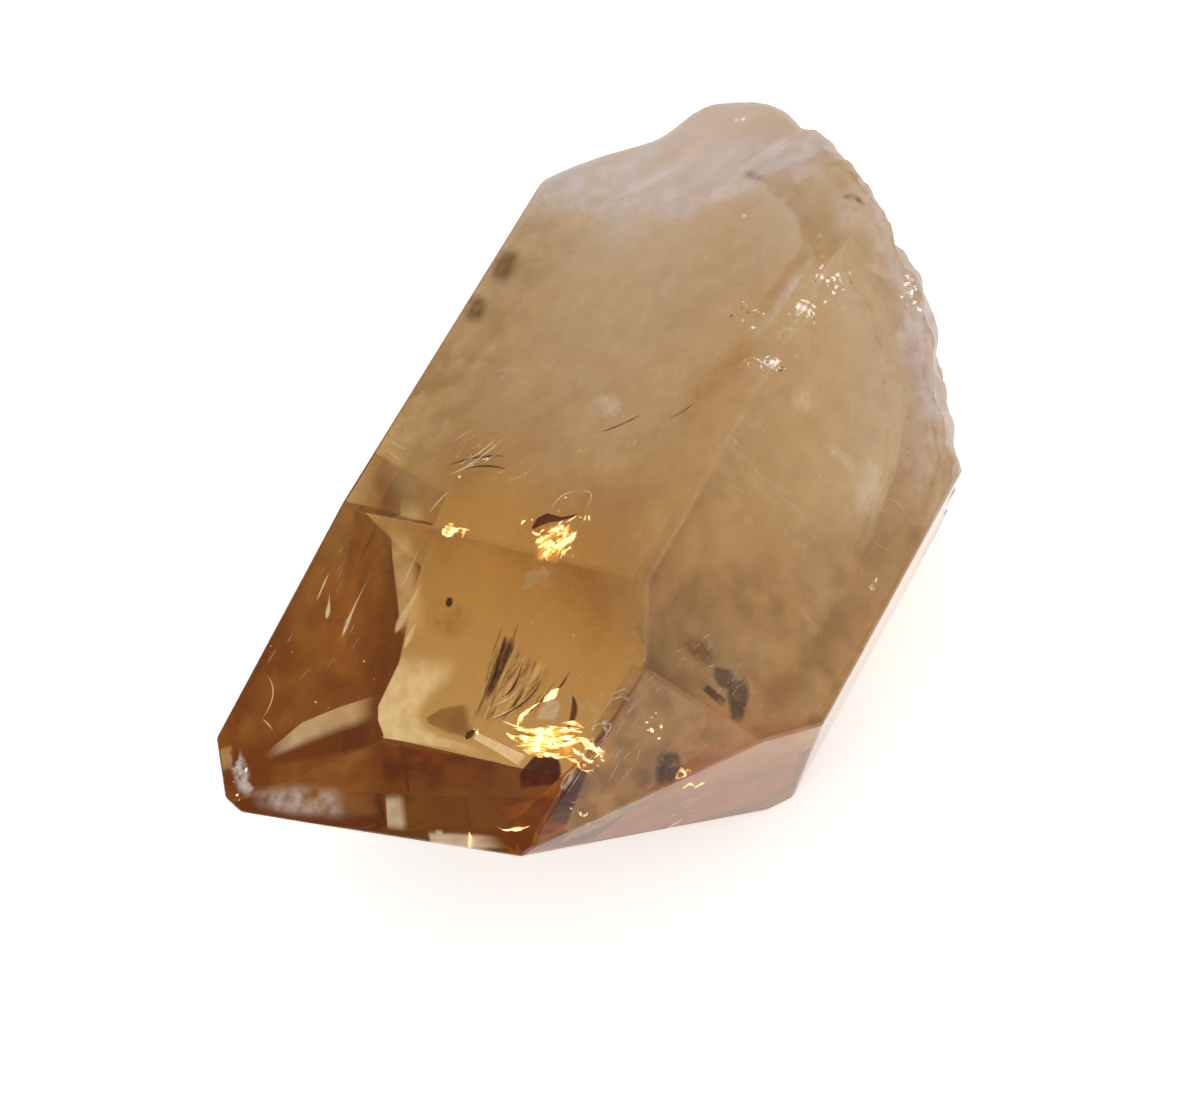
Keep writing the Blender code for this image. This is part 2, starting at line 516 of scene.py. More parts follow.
@dataclass(frozen=True)
class PaintedFoldShadeFinish:
    """Crack with folds painted along its sheet as bands of painted light and shade, light on one side and dark on the
    other, and a painted glow.
    """

    name: str
    light: Colour
    dark: Colour
    folds: float = 7.0
    opacity: float = 0.85
    glow: float = 0.4
    fade: tuple[float, float, float, float] = (0.2, 0.3, 0.15, 0.2)

    def material(self, groups: Groups) -> bpy.types.Material:
        """Noise stretched along the sheet sets the painted light and shade of the folds, and a second one where they
        break up.
        """
        made, bench, shader = new_material(self.name)
        sheet = bench.node("UVMap", uv_map="sheet").outputs[0]
        drawn = bench.node("Mapping", {"Vector": sheet, "Scale": (self.folds, 1.3, 1.0)}).outputs[0]
        folds = bench.node("TexNoise", {"Vector": drawn, "Scale": 1.0, "Detail": 2.5}).outputs[0]
        # The light and dark colours are painted light and shade of the folds, not a tone of the crack.
        colour = bench.blend(bench.smooth(folds, 0.38, 0.6), (*self.dark, 1.0), (*self.light, 1.0))
        left, right, start, end = self.fade
        edge = bench.place(groups.fade, Left=left, Right=right, Start=start, End=end)
        gaps = bench.place(groups.cloud, Scale=450.0, Detail=2.0, Low=0.25, High=0.55, Shift=6.0)
        opacity = bench.maths("MULTIPLY", bench.maths("MULTIPLY", edge, gaps), self.opacity)
        bench.feed(shader.inputs["Alpha"], opacity)
        bench.feed(shader.inputs["Base Color"], colour)
        bench.feed(shader.inputs["Emission Color"], colour)
        shader.inputs["Emission Strength"].default_value = self.glow
        shader.inputs["Roughness"].default_value = 0.6
        shader.inputs["Specular IOR Level"].default_value = 0.0
        return made


@dataclass(frozen=True)
class BlazeFinish:
    """Cleaved scales whose light thrown straight back is painted: glowing white cores with ragged gold rims."""

    name: str
    core: Colour = (1.0, 0.90, 0.62)
    rim: Colour = (0.78, 0.44, 0.09)
    glow: float = 1.4
    raggedness: float = 1.1

    def material(self, groups: Groups) -> bpy.types.Material:
        """Core, rim and gap by the distance from the stroke's middle line, made ragged by a cloud."""
        made, bench, shader = new_material(self.name)
        across = bench.node("SeparateXYZ", {0: bench.node("UVMap", uv_map="sheet").outputs[0]}).outputs[0]
        off = bench.maths("ABSOLUTE", bench.maths("SUBTRACT", bench.maths("MULTIPLY", across, 2.0), 1.0))
        rough = bench.place(groups.cloud, Scale=900.0, Detail=3.0, Low=0.3, High=0.7, Shift=5.0)
        ragged = bench.maths("MULTIPLY", bench.maths("SUBTRACT", rough, 0.5), self.raggedness)
        depth = bench.maths("ADD", bench.maths("SUBTRACT", 1.0, off), ragged)
        # The bright core and its emission are a painted reflection of light off the cleaved scales.
        colour = bench.blend(bench.smooth(depth, 0.4, 0.85), (*self.rim, 1.0), (*self.core, 1.0))
        bench.feed(shader.inputs["Base Color"], colour)
        bench.feed(shader.inputs["Emission Color"], colour)
        shader.inputs["Emission Strength"].default_value = self.glow
        bench.feed(shader.inputs["Alpha"], bench.smooth(depth, 0.05, 0.35))
        shader.inputs["Roughness"].default_value = 0.2
        return made


@dataclass(frozen=True)
class RainbowFinish:
    """Thin air gap in a healed crack, with faint colours of the rainbow painted on as a glowing reflection."""

    name: str = "rainbow_film"
    opacity: float = 0.35
    glow: float = 0.25

    def material(self, groups: Groups) -> bpy.types.Material:
        """Hue runs round with a slow noise, and the film breaks up into patches."""
        made, bench, shader = new_material(self.name)
        place = bench.node("TexCoord").outputs["Object"]
        drift = bench.node("TexNoise", {"Vector": place, "Scale": 420.0, "Detail": 2.0}).outputs[0]
        ramp = bench.node("ValToRGB", {0: drift})
        stops = ramp.color_ramp.elements
        stops[0].position, stops[0].color = 0.34, (0.9, 0.75, 0.3, 1.0)
        stops[1].position, stops[1].color = 0.66, (0.85, 0.55, 0.3, 1.0)
        for at, colour in ((0.42, (0.85, 0.4, 0.4, 1.0)), (0.5, (0.35, 0.65, 0.5, 1.0)), (0.58, (0.7, 0.75, 0.3, 1.0))):
            stops.new(at).color = colour
        edge = bench.place(groups.fade, Left=0.3, Right=0.3, Start=0.3, End=0.3)
        patches = bench.place(groups.cloud, Scale=700.0, Detail=3.0, Low=0.4, High=0.6, Shift=1.1)
        opacity = bench.maths("MULTIPLY", bench.maths("MULTIPLY", edge, patches), self.opacity)
        bench.feed(shader.inputs["Alpha"], opacity)
        bench.feed(shader.inputs["Base Color"], ramp.outputs[0])
        # Emission is painted light: the film's colours glow in place of the light it reflects.
        bench.feed(shader.inputs["Emission Color"], ramp.outputs[0])
        shader.inputs["Emission Strength"].default_value = self.glow
        shader.inputs["Roughness"].default_value = 0.3
        return made


@dataclass(frozen=True)
class GlintFinish:
    """Tiny cleaved flakes whose catching of the light is painted as glowing glints."""

    name: str
    colour: Colour = (1.0, 0.96, 0.9)
    glow: float = 0.8

    def material(self, groups: Groups) -> bpy.types.Material:
        """Painted glints: bright, glowing flakes whose shine differs from place to place."""
        made, bench, shader = new_material(self.name)
        shine = bench.place(groups.cloud, Scale=1600.0, Detail=2.0, Low=0.35, High=0.6, Shift=4.0)
        tone = bench.blend(shine, (0.25, 0.16, 0.08, 1.0), (*self.colour, 1.0))
        bench.feed(shader.inputs["Base Color"], tone)
        bench.feed(shader.inputs["Emission Color"], bench.blend(shine, (0.0, 0.0, 0.0, 1.0), (*self.colour, 1.0)))
        shader.inputs["Emission Strength"].default_value = self.glow
        shader.inputs["Roughness"].default_value = 0.25
        return made


@dataclass
class CrystalBody:
    """The crystal's outside: flat faces with worn edges and a lumpy broken end."""

    edge_wear: float = 0.35
    edge_steps: int = 3
    softness: float = 1.4
    far: float = 90.0
    reach: float = math.radians(112.0)
    rings: int = 100
    spokes: int = 240

    def corners(self) -> tuple[np.ndarray, list[list[int]]]:
        """Corners and faces of the solid that all flat faces bound.

        Each corner is where three planes meet, kept if it lies inside all the others, and each
        face lists its corners by their angle about its centre.

        Returns:
            The corner points and the corner indices of each face.
        """
        planes = [*FACES.values(), Face(0.0, -90.0, 60.0)]
        normals = np.array([face.normal() for face in planes])
        distances = np.array([face.distance for face in planes])
        triples = np.array(list(itertools.combinations(range(len(planes)), 3)))
        triples = triples[np.abs(np.linalg.det(normals[triples])) > 1e-6]
        points = np.linalg.solve(normals[triples], distances[triples][..., None])[..., 0]
        inside = np.all(points @ normals.T <= distances + 1e-6, axis=1)
        points = np.unique(np.round(points[inside], 6), axis=0)
        faces = []
        for normal, distance in zip(normals, distances):
            on_face = np.flatnonzero(np.abs(points @ normal - distance) < 1e-4)
            if len(on_face) < 3:
                continue
            spread = points[on_face] - points[on_face].mean(axis=0)
            first = spread[0] / np.linalg.norm(spread[0])
            second = np.cross(normal, first)
            faces.append(on_face[np.argsort(np.arctan2(spread @ second, spread @ first))].tolist())
        return points, faces

    def lumps(self, p: np.ndarray) -> np.ndarray:
        """Height of the broken end's relief: waves, ledges and grain as sums of sine products, and humps."""
        x, y, z = p[..., 0], p[..., 1], p[..., 2]
        wave = 0.75 * np.sin(0.34 * y + 0.21 * z + 0.6) * np.cos(0.29 * z - 0.17 * y + 0.4)
        ledge = 0.42 * np.sin(0.71 * y - 0.52 * z + 1.9) + 0.30 * np.sin(0.93 * z + 0.61 * x - 0.4)
        grain = 0.22 * np.sin(1.9 * y + 1.3 * z) * np.sin(1.7 * z - 1.1 * x + 0.8)
        crumbled = 1.0 / (1.0 + np.exp((y + 8.0) / 4.0))
        relief = wave + ledge * (0.35 + 0.65 * crumbled) + grain * (0.1 + 0.9 * crumbled)
        for centre, height, spread in HUMPS.values():
            relief = relief + height * np.exp(-((p - np.array(centre)) ** 2).sum(axis=-1) / (2.0 * spread**2))
        return relief

    def plane_ways(self, directions: np.ndarray, planes: dict[str, Face], inset: float = 0.0) -> np.ndarray:
        """Distance from the heart to each plane along each direction, or far where it isn't met."""
        normals = np.array([face.normal() for face in planes.values()])
        distances = np.array([face.distance - inset for face in planes.values()])
        facing = directions @ normals.T
        return np.where(facing > 0.05, np.minimum(distances / np.maximum(facing, 0.05), self.far), self.far)

    def break_radius(self, directions: np.ndarray) -> np.ndarray:
        """Distance from the heart to the broken end: the soft least of its planes' distances, plus lumps."""
        ways = self.plane_ways(directions, BREAKS)
        ways = np.concatenate([ways, np.full((*ways.shape[:-1], 1), self.far)], axis=-1)
        least = ways.min(axis=-1, keepdims=True)
        radius = least[..., 0] - self.softness * np.log(np.exp((least - ways) / self.softness).sum(axis=-1))
        return radius + self.lumps(directions * radius[..., None])

    def directions(self, polar: np.ndarray, spokes: int) -> np.ndarray:
        """Unit directions on a grid of polar angles from +X by even angles round it."""
        around = (2.0 * math.pi * np.arange(spokes) / spokes)[None, :]
        polar = polar[:, None]
        parts = [np.cos(polar) + 0.0 * around, np.sin(polar) * np.cos(around), np.sin(polar) * np.sin(around)]
        return np.stack(parts, axis=-1)

    def broken_shell(self) -> bpy.types.Object:
        """Closed shell whose +X side is the broken surface, a function of polar angle and angle around."""
        directions = self.directions(self.reach * np.arange(1, self.rings + 1) / self.rings, self.spokes)
        ring_points = (directions * self.break_radius(directions)[..., None]).reshape(-1, 3)
        pole = np.array([[1.0, 0.0, 0.0]])
        points = np.concatenate([ring_points, pole * self.break_radius(pole)[:, None], [[-self.far, 0.0, 0.0]]])
        quads = grid_polygons(self.rings, self.spokes, closed=True)
        j = np.arange(self.spokes)
        k = (j + 1) % self.spokes
        last = (self.rings - 1) * self.spokes
        near_cap = np.stack([np.full_like(j, len(points) - 2), j, k], axis=-1)
        far_cap = np.stack([np.full_like(j, len(points) - 1), last + k, last + j], axis=-1)
        polygons = [*quads.tolist(), *near_cap.tolist(), *far_cap.tolist()]
        return make_object("broken_shell", points, polygons)

    def mark_faces(self, mesh: bpy.types.Mesh) -> None:
        """Mark the faces of the break and the striated prism faces, by place and by normal."""
        count = len(mesh.polygons)
        centres, normals = np.zeros(3 * count), np.zeros(3 * count)
        mesh.polygons.foreach_get("center", centres)
        mesh.polygons.foreach_get("normal", normals)
        centres, normals = centres.reshape(-1, 3) / MM - HEART, normals.reshape(-1, 3)
        flat = np.array([face.normal() for face in FACES.values()])
        away = np.array([face.distance for face in FACES.values()]) - centres @ flat.T
        on_flat = ((away < 0.02) & (normals @ flat.T > 0.9999)).any(axis=1)
        radius = np.linalg.norm(centres, axis=1)
        gap = np.abs(radius - self.break_radius(centres / radius[:, None]))
        write_value(mesh, "broken", ((gap < 0.15) & ~on_flat).astype(float), "FACE")
        lined = np.array([FACES[name].normal() for name in ("striated", "narrow", "back")])
        write_value(mesh, "striated", ((normals @ lined.T) > 0.999).any(axis=1).astype(float), "FACE")

    def clearance(self, points: np.ndarray) -> np.ndarray:
        """Depth of points below the surface: the least of the ways to the flat faces and to the break."""
        normals = np.array([face.normal() for face in FACES.values()])
        flat = np.array([face.distance for face in FACES.values()]) - points @ normals.T
        away = np.linalg.norm(points, axis=-1)
        return np.minimum(flat.min(axis=-1), self.break_radius(points / away[..., None]) - away)

    def build(self) -> bpy.types.Object:
        """Wear the edges of the faceted solid and cut it to the broken shell.

        Returns:
            The crystal's outer surface as one closed mesh.
        """
        points, faces = self.corners()
        blank = make_object("faceted_blank", points, faces)
        shell = self.broken_shell()
        wear = blank.modifiers.new("Worn edges", "BEVEL")
        wear.width = self.edge_wear * MM
        wear.segments = self.edge_steps
        wear.limit_method = "NONE"
        trim = blank.modifiers.new("Broken end", "BOOLEAN")
        trim.operation = "INTERSECT"
        trim.solver = "EXACT"
        trim.object = shell
        blank.modifiers.new("Flat faces", "WEIGHTED_NORMAL").weight = 100
        graph = bpy.context.evaluated_depsgraph_get()
        mesh = bpy.data.meshes.new_from_object(blank.evaluated_get(graph))
        mesh.name = "crystal_surface"
        made = bpy.data.objects.new("crystal_surface", mesh)
        bpy.context.scene.collection.objects.link(made)
        for helper in (blank, shell):
            bpy.data.objects.remove(helper, do_unlink=True)
        self.mark_faces(mesh)
        mesh.materials.clear()
        mesh.materials.append(CitrineFinish().material())
        return made


def drift(points: np.ndarray, size: float, seed: int, waves: int = 28) -> np.ndarray:
    """Smooth random field, about -1 to 1: the mean of seeded plane sine waves, all about as long as size."""
    chance = np.random.default_rng(seed)
    course = chance.normal(size=(3, waves))
    course *= 2.0 * math.pi / (size * chance.uniform(0.6, 1.8, size=waves) * np.linalg.norm(course, axis=0))
    return np.sin(points @ course + chance.uniform(0.0, 2.0 * math.pi, size=waves)).sum(axis=-1) / math.sqrt(waves)


def smooth_share(value: np.ndarray, low: float, high: float) -> np.ndarray:
    """Smooth step of an array from 0 at low to 1 at high."""
    share = np.clip((value - low) / (high - low), 0.0, 1.0)
    return share * share * (3.0 - 2.0 * share)


@dataclass
class MilkShell:
    """Sheet of haze that follows the crystal's outside at a depth, densest at the broken end.

    Attributes:
        name: Name of the piece.
        inset: Depth below the surface.
        milky: Opacity at the broken end.
        spread: Distance from the break over which its milk thins out.
        body: Opacity of the haze that fills the body, away from the break.
        clears: Places along the crystal between which the body's haze clears towards the point.
        seed: Seed of its clouds.
        finish: Its finish.
        skew: How far the clearing slants from straight across the crystal.
        flank: Distances towards -Y between which haze fills the crystal's flank, however near the point.
        rounding: How far its edges are rounded off.
        reach: Angle from +X that it covers.
        rings: Rows of its grid.
        spokes: Columns of its grid.
    """

    name: str
    inset: float
    milky: float
    spread: float
    body: float
    clears: tuple[float, float]
    seed: int
    finish: MilkFinish
    skew: float = -0.3
    flank: tuple[float, float] = (17.0, 31.0)
    rounding: float = 1.2
    reach: float = math.radians(145.0)
    rings: int = 110
    spokes: int = 200

    def build(self, crystal: CrystalBody, groups: Groups) -> bpy.types.Object:
        """Shell at the least of the flat faces' and the break's distances, less the inset."""
        directions = crystal.directions(self.reach * (np.arange(self.rings) + 0.5) / self.rings, self.spokes)
        ways = crystal.plane_ways(directions, FACES, self.inset)
        flat = ways.min(axis=-1)
        broken = crystal.break_radius(directions)
        outer = directions * np.minimum(crystal.plane_ways(directions, FACES).min(axis=-1), broken)[..., None]
        broken = broken - self.inset
        ways = np.concatenate([ways, broken[..., None]], axis=-1)
        least = ways.min(axis=-1)
        rounded = least - self.rounding * np.log(np.exp((least[..., None] - ways) / self.rounding).sum(axis=-1))
        points = directions * rounded[..., None]
        cloud = drift(points, 11.0, self.seed)
        wisp = drift(points, 4.5, self.seed + 1)
        away = np.maximum(broken - flat, 0.0) + 1.6 * cloud + 0.8 * wisp
        near = np.exp(-np.maximum(away, 0.0) / self.spread)
        along = outer[..., 0] + self.skew * outer[..., 1] + 2.5 * cloud
        flank = 2.0 * cloud - outer[..., 1]
        share = np.maximum(smooth_share(along, *self.clears), smooth_share(flank, *self.flank))
        body = self.body * share * (1.0 + 0.16 * cloud + 0.10 * wisp)
        milk = np.clip(np.maximum(near * self.milky * (1.0 + 0.22 * wisp + 0.1 * cloud), body), 0.0, 0.97).ravel()
        quads = grid_polygons(self.rings, self.spokes, closed=True)
        quads = quads[milk[quads].max(axis=1) > 0.012]
        used, index = np.unique(quads, return_inverse=True)
        made = make_object(self.name, points.reshape(-1, 3)[used], index.reshape(-1, 4).tolist())
        write_value(made.data, "milk", milk[used])
        write_value(made.data, "tone", np.clip(near, 0.0, 1.0).ravel()[used])
        made.data.materials.append(self.finish.material(groups))
        return made


@dataclass(frozen=True)
class Sheet:
    """Patch of an inner crack, ruled between two lines of the picture.

    Attributes:
        left: Corners of its left line, from start to end.
        right: Corners of its right line.
        share: Share of the way inside, at its start and its end.
        ripple: Height of its ripples, as a share of the way.
        ripples: Number of ripples from start to end.
        through: Face that it is seen through.
    """

    left: tuple[Pixel, ...]
    right: tuple[Pixel, ...]
    share: tuple[float, float] = (0.5, 0.5)
    ripple: float = 0.01
    ripples: float = 3.0
    through: str = ""


@dataclass
class SheetSet:
    """Inner sheets of one finish, made as one piece."""

    name: str
    sheets: tuple[Sheet, ...]
    finish: VeilFinish | PaintedFoldShadeFinish | RainbowFinish
    across: int = 24
    along: int = 36
    crystal: CrystalBody = field(default_factory=CrystalBody)

    def grid(self, sheet: Sheet, sight: Sight) -> np.ndarray:
        """Points of one sheet: straight across from line to line, rippled in depth by a product of sines."""
        u, v = np.meshgrid(np.linspace(0.0, 1.0, self.across), np.linspace(0.0, 1.0, self.along))
        pixels = along_line(sheet.left, v) * (1.0 - u[..., None]) + along_line(sheet.right, v) * u[..., None]
        share = sheet.share[0] + (sheet.share[1] - sheet.share[0]) * v
        share = share + sheet.ripple * np.sin(2.0 * math.pi * (sheet.ripples * v + 0.3 * u)) * np.cos(3.1 * u)
        return sight.inside(pixels, np.clip(share, 0.01, 0.985), sheet.through)

    def build(self, sight: Sight, groups: Groups) -> bpy.types.Object:
        """Join the parts of the sheets' grids that lie inside, each with its UV map across and along."""
        points = np.concatenate([self.grid(sheet, sight).reshape(-1, 3) for sheet in self.sheets])
        quads = grid_polygons(self.along, self.across)
        size = self.across * self.along
        polygons = np.concatenate([quads + size * i for i in range(len(self.sheets))])
        polygons = polygons[self.crystal.clearance(points)[polygons].min(axis=1) > SHEET_MARGIN]
        used, index = np.unique(polygons, return_inverse=True)
        made = make_object(self.name, points[used], index.reshape(-1, 4).tolist())
        write_uv(made.data, grid_uv(self.across, self.along, len(self.sheets))[used])
        made.data.materials.append(self.finish.material(groups))
        return made


@dataclass(frozen=True)
class Stroke:
    """One thin crack or needle: a bent line of the picture with its width in pixels."""

    start: Pixel
    bend: Pixel
    end: Pixel
    width: float
    share: float = 0.4
    blunt: float = 0.5
    through: str = ""


@dataclass(frozen=True)
class HairField:
    """Scatter of fine parallel hair cracks round a pixel.

    Attributes:
        centre: Middle of the field.
        spread: Deviation of their places across and down the picture.
        slope: Degrees that they slope downwards to the right.
        count: How many there are.
        length: Mean length in pixels.
        width: Mean width in pixels.
        share: Share of the way inside.
        through: Face that they are seen through.
    """

    centre: Pixel
    spread: tuple[float, float]
    slope: float
    count: int
    length: float
    width: float = 1.1
    share: float = 0.04
    through: str = ""

    def strokes(self, chance: np.random.Generator) -> list[Stroke]:
        """Strokes at seeded places, each a little bent and turned from the field's slope."""
        middles = np.array(self.centre) + chance.normal(size=(self.count, 2)) * np.array(self.spread)
        turns = np.radians(self.slope + chance.normal(0.0, 9.0, self.count))
        halves = 0.5 * self.length * chance.lognormal(0.0, 0.35, self.count)
        courses = np.stack([np.cos(turns), np.sin(turns)], axis=-1) * halves[:, None]
        bends = middles + chance.normal(size=(self.count, 2)) * 0.06 * self.length
        widths = self.width * chance.lognormal(0.0, 0.3, self.count)
        rows = zip(middles - courses, bends, middles + courses, widths)
        return [
            Stroke(tuple(a), tuple(b), tuple(c), float(w), self.share, through=self.through) for a, b, c, w in rows
        ]


@dataclass
class StrokeSet:
    """Needles and hair cracks of one finish, made as one piece."""

    name: str
    strokes: tuple[Stroke, ...]
    finish: VeilFinish | BlazeFinish
    across: int = 5
    along: int = 22
    crystal: CrystalBody = field(default_factory=CrystalBody)

    def grid(self, stroke: Stroke, sight: Sight) -> np.ndarray:
        """Points of one stroke: a parabola through its bend, as wide as a sine skewed to its blunt end."""
        v, u = np.meshgrid(np.linspace(0.0, 1.0, self.along), np.linspace(-1.0, 1.0, self.across), indexing="ij")
        start, bend, end = (np.array(p, dtype=float) for p in (stroke.start, stroke.bend, stroke.end))
        control = 2.0 * bend - 0.5 * (start + end)
        t = v[..., None]
        line = (1.0 - t) ** 2 * start + 2.0 * t * (1.0 - t) * control + t**2 * end
        course = 2.0 * (1.0 - t) * (control - start) + 2.0 * t * (end - control)
        side = np.stack([-course[..., 1], course[..., 0]], axis=-1)
        side = side / np.maximum(np.linalg.norm(side, axis=-1, keepdims=True), 1e-6)
        swell = np.sin(math.pi * v ** (math.log(0.5) / math.log(stroke.blunt)))[..., None]
        pixels = line + side * u[..., None] * stroke.width * 0.5 * swell
        share = stroke.share + 0.02 * u * u + 0.02 * np.sin(5.0 * v)
        return sight.inside(pixels, np.clip(share, 0.006, 0.985), stroke.through)

    def build(self, sight: Sight, groups: Groups) -> bpy.types.Object:
        """Join the grids of the strokes that lie inside into one mesh, with a UV map across and along each."""
        grids = np.stack([self.grid(stroke, sight).reshape(-1, 3) for stroke in self.strokes])
        grids = grids[self.crystal.clearance(grids).min(axis=1) > STROKE_MARGIN]
        quads = grid_polygons(self.along, self.across)
        polygons = np.concatenate([quads + grids.shape[1] * i for i in range(len(grids))])
        made = make_object(self.name, grids.reshape(-1, 3), polygons.tolist())
        write_uv(made.data, grid_uv(self.across, self.along, len(grids)))
        made.data.materials.append(self.finish.material(groups))
        return made


@dataclass(frozen=True)
class Swarm:
    """Scatter of flakes round a pixel, along a line of the picture."""

    centre: Pixel
    spread: tuple[float, float]
    slope: float
    count: int
    size: float
    share: tuple[float, float] = (0.02, 0.08)


@dataclass
class GlintSet:
    """Cleaved flakes of one finish, scattered in swarms and made as one piece."""

    name: str
    swarms: tuple[Swarm, ...]
    finish: GlintFinish
    seed: int = 7
    grid_side: int = 4
    crystal: CrystalBody = field(default_factory=CrystalBody)

    def build(self, sight: Sight, groups: Groups) -> bpy.types.Object:
        """Each flake is a small cupped kite, turned at random about its own centre and kept if it lies inside."""
        chance = np.random.default_rng(self.seed)
        centres, sizes = [], []
        for swarm in self.swarms:
            off = chance.normal(size=(swarm.count, 2)) * np.array(swarm.spread)
            turn = math.radians(swarm.slope)
            turned = off @ np.array([[math.cos(turn), -math.sin(turn)], [math.sin(turn), math.cos(turn)]])
            share = chance.uniform(*swarm.share, size=swarm.count)
            centres.append(sight.inside(turned + np.array(swarm.centre), share))
            sizes.append(swarm.size * chance.lognormal(0.0, 0.45, size=swarm.count))
        centre, size = np.concatenate(centres), np.concatenate(sizes)
        kept = self.crystal.clearance(centre) > FLAKE_MARGIN * size
        centre, size = centre[kept], size[kept]
        basis, _ = np.linalg.qr(chance.normal(size=(len(centre), 3, 3)))
        side = np.linspace(-1.0, 1.0, self.grid_side)
        u, v = np.meshgrid(side, side)
        wide, high = u * (1.0 - 0.35 * np.abs(v)), v * 0.55 * (1.0 - 0.5 * np.abs(u))
        shape = np.stack([wide, high, 0.25 * (u * u - v)], axis=-1)
        points = np.einsum("fij,nj->fni", basis, shape.reshape(-1, 3)) * size[:, None, None] + centre[:, None, :]
        quads = grid_polygons(self.grid_side, self.grid_side)
        polygons = quads[None] + (self.grid_side**2 * np.arange(len(centre)))[:, None, None]
        made = make_object(self.name, points.reshape(-1, 3), polygons.reshape(-1, 4).tolist())
        made.data.materials.append(self.finish.material(groups))
        return made


class Tone(Enum):
    """Tones of the inner cracks and inclusions."""

    CREAM = "cream"
    SMOKE = "smoke"
    MILK = "milk"
    LILAC = "lilac"
    AMBER = "amber"
    EMBER = "ember"
    UMBER = "umber"
    BROWN = "brown"
    TAN = "tan"
    FAWN = "fawn"
    HONEY = "honey"


@dataclass(frozen=True)
class ToneColours:
    """Light and deep colour of a tone, and its glow, which is painted light."""

    light: Colour
    deep: Colour
    glow: float


TONES: dict[Tone, ToneColours] = {
    Tone.CREAM: ToneColours((0.93, 0.81, 0.60), (0.76, 0.63, 0.43), 0.65),
    Tone.SMOKE: ToneColours((0.11, 0.035, 0.004), (0.04, 0.011, 0.001), 0.3),
    Tone.MILK: ToneColours((0.95, 0.9, 0.85), (0.8, 0.7, 0.62), 0.3),
    Tone.LILAC: ToneColours((0.92, 0.86, 0.89), (0.78, 0.70, 0.70), 0.35),
    Tone.AMBER: ToneColours((0.32, 0.09, 0.006), (0.15, 0.035, 0.001), 0.4),
    Tone.EMBER: ToneColours((0.10, 0.018, 0.001), (0.045, 0.007, 0.0005), 0.6),
    Tone.UMBER: ToneColours((0.26, 0.10, 0.016), (0.13, 0.045, 0.005), 0.4),
    Tone.BROWN: ToneColours((0.54, 0.26, 0.06), (0.36, 0.15, 0.03), 0.45),
    Tone.TAN: ToneColours((0.44, 0.245, 0.085), (0.27, 0.14, 0.042), 0.45),
    Tone.FAWN: ToneColours((0.58, 0.39, 0.19), (0.40, 0.25, 0.10), 0.45),
    Tone.HONEY: ToneColours((0.42, 0.14, 0.012), (0.32, 0.10, 0.006), 0.5),
}


def veil(name: str, tone: Tone, opacity: float, fade: tuple[float, float, float, float], **more: float) -> VeilFinish:
    """Veil finish of a tone."""
    colours = TONES[tone]
    return VeilFinish(name, colours.light, colours.deep, opacity, colours.glow, fade, **more)


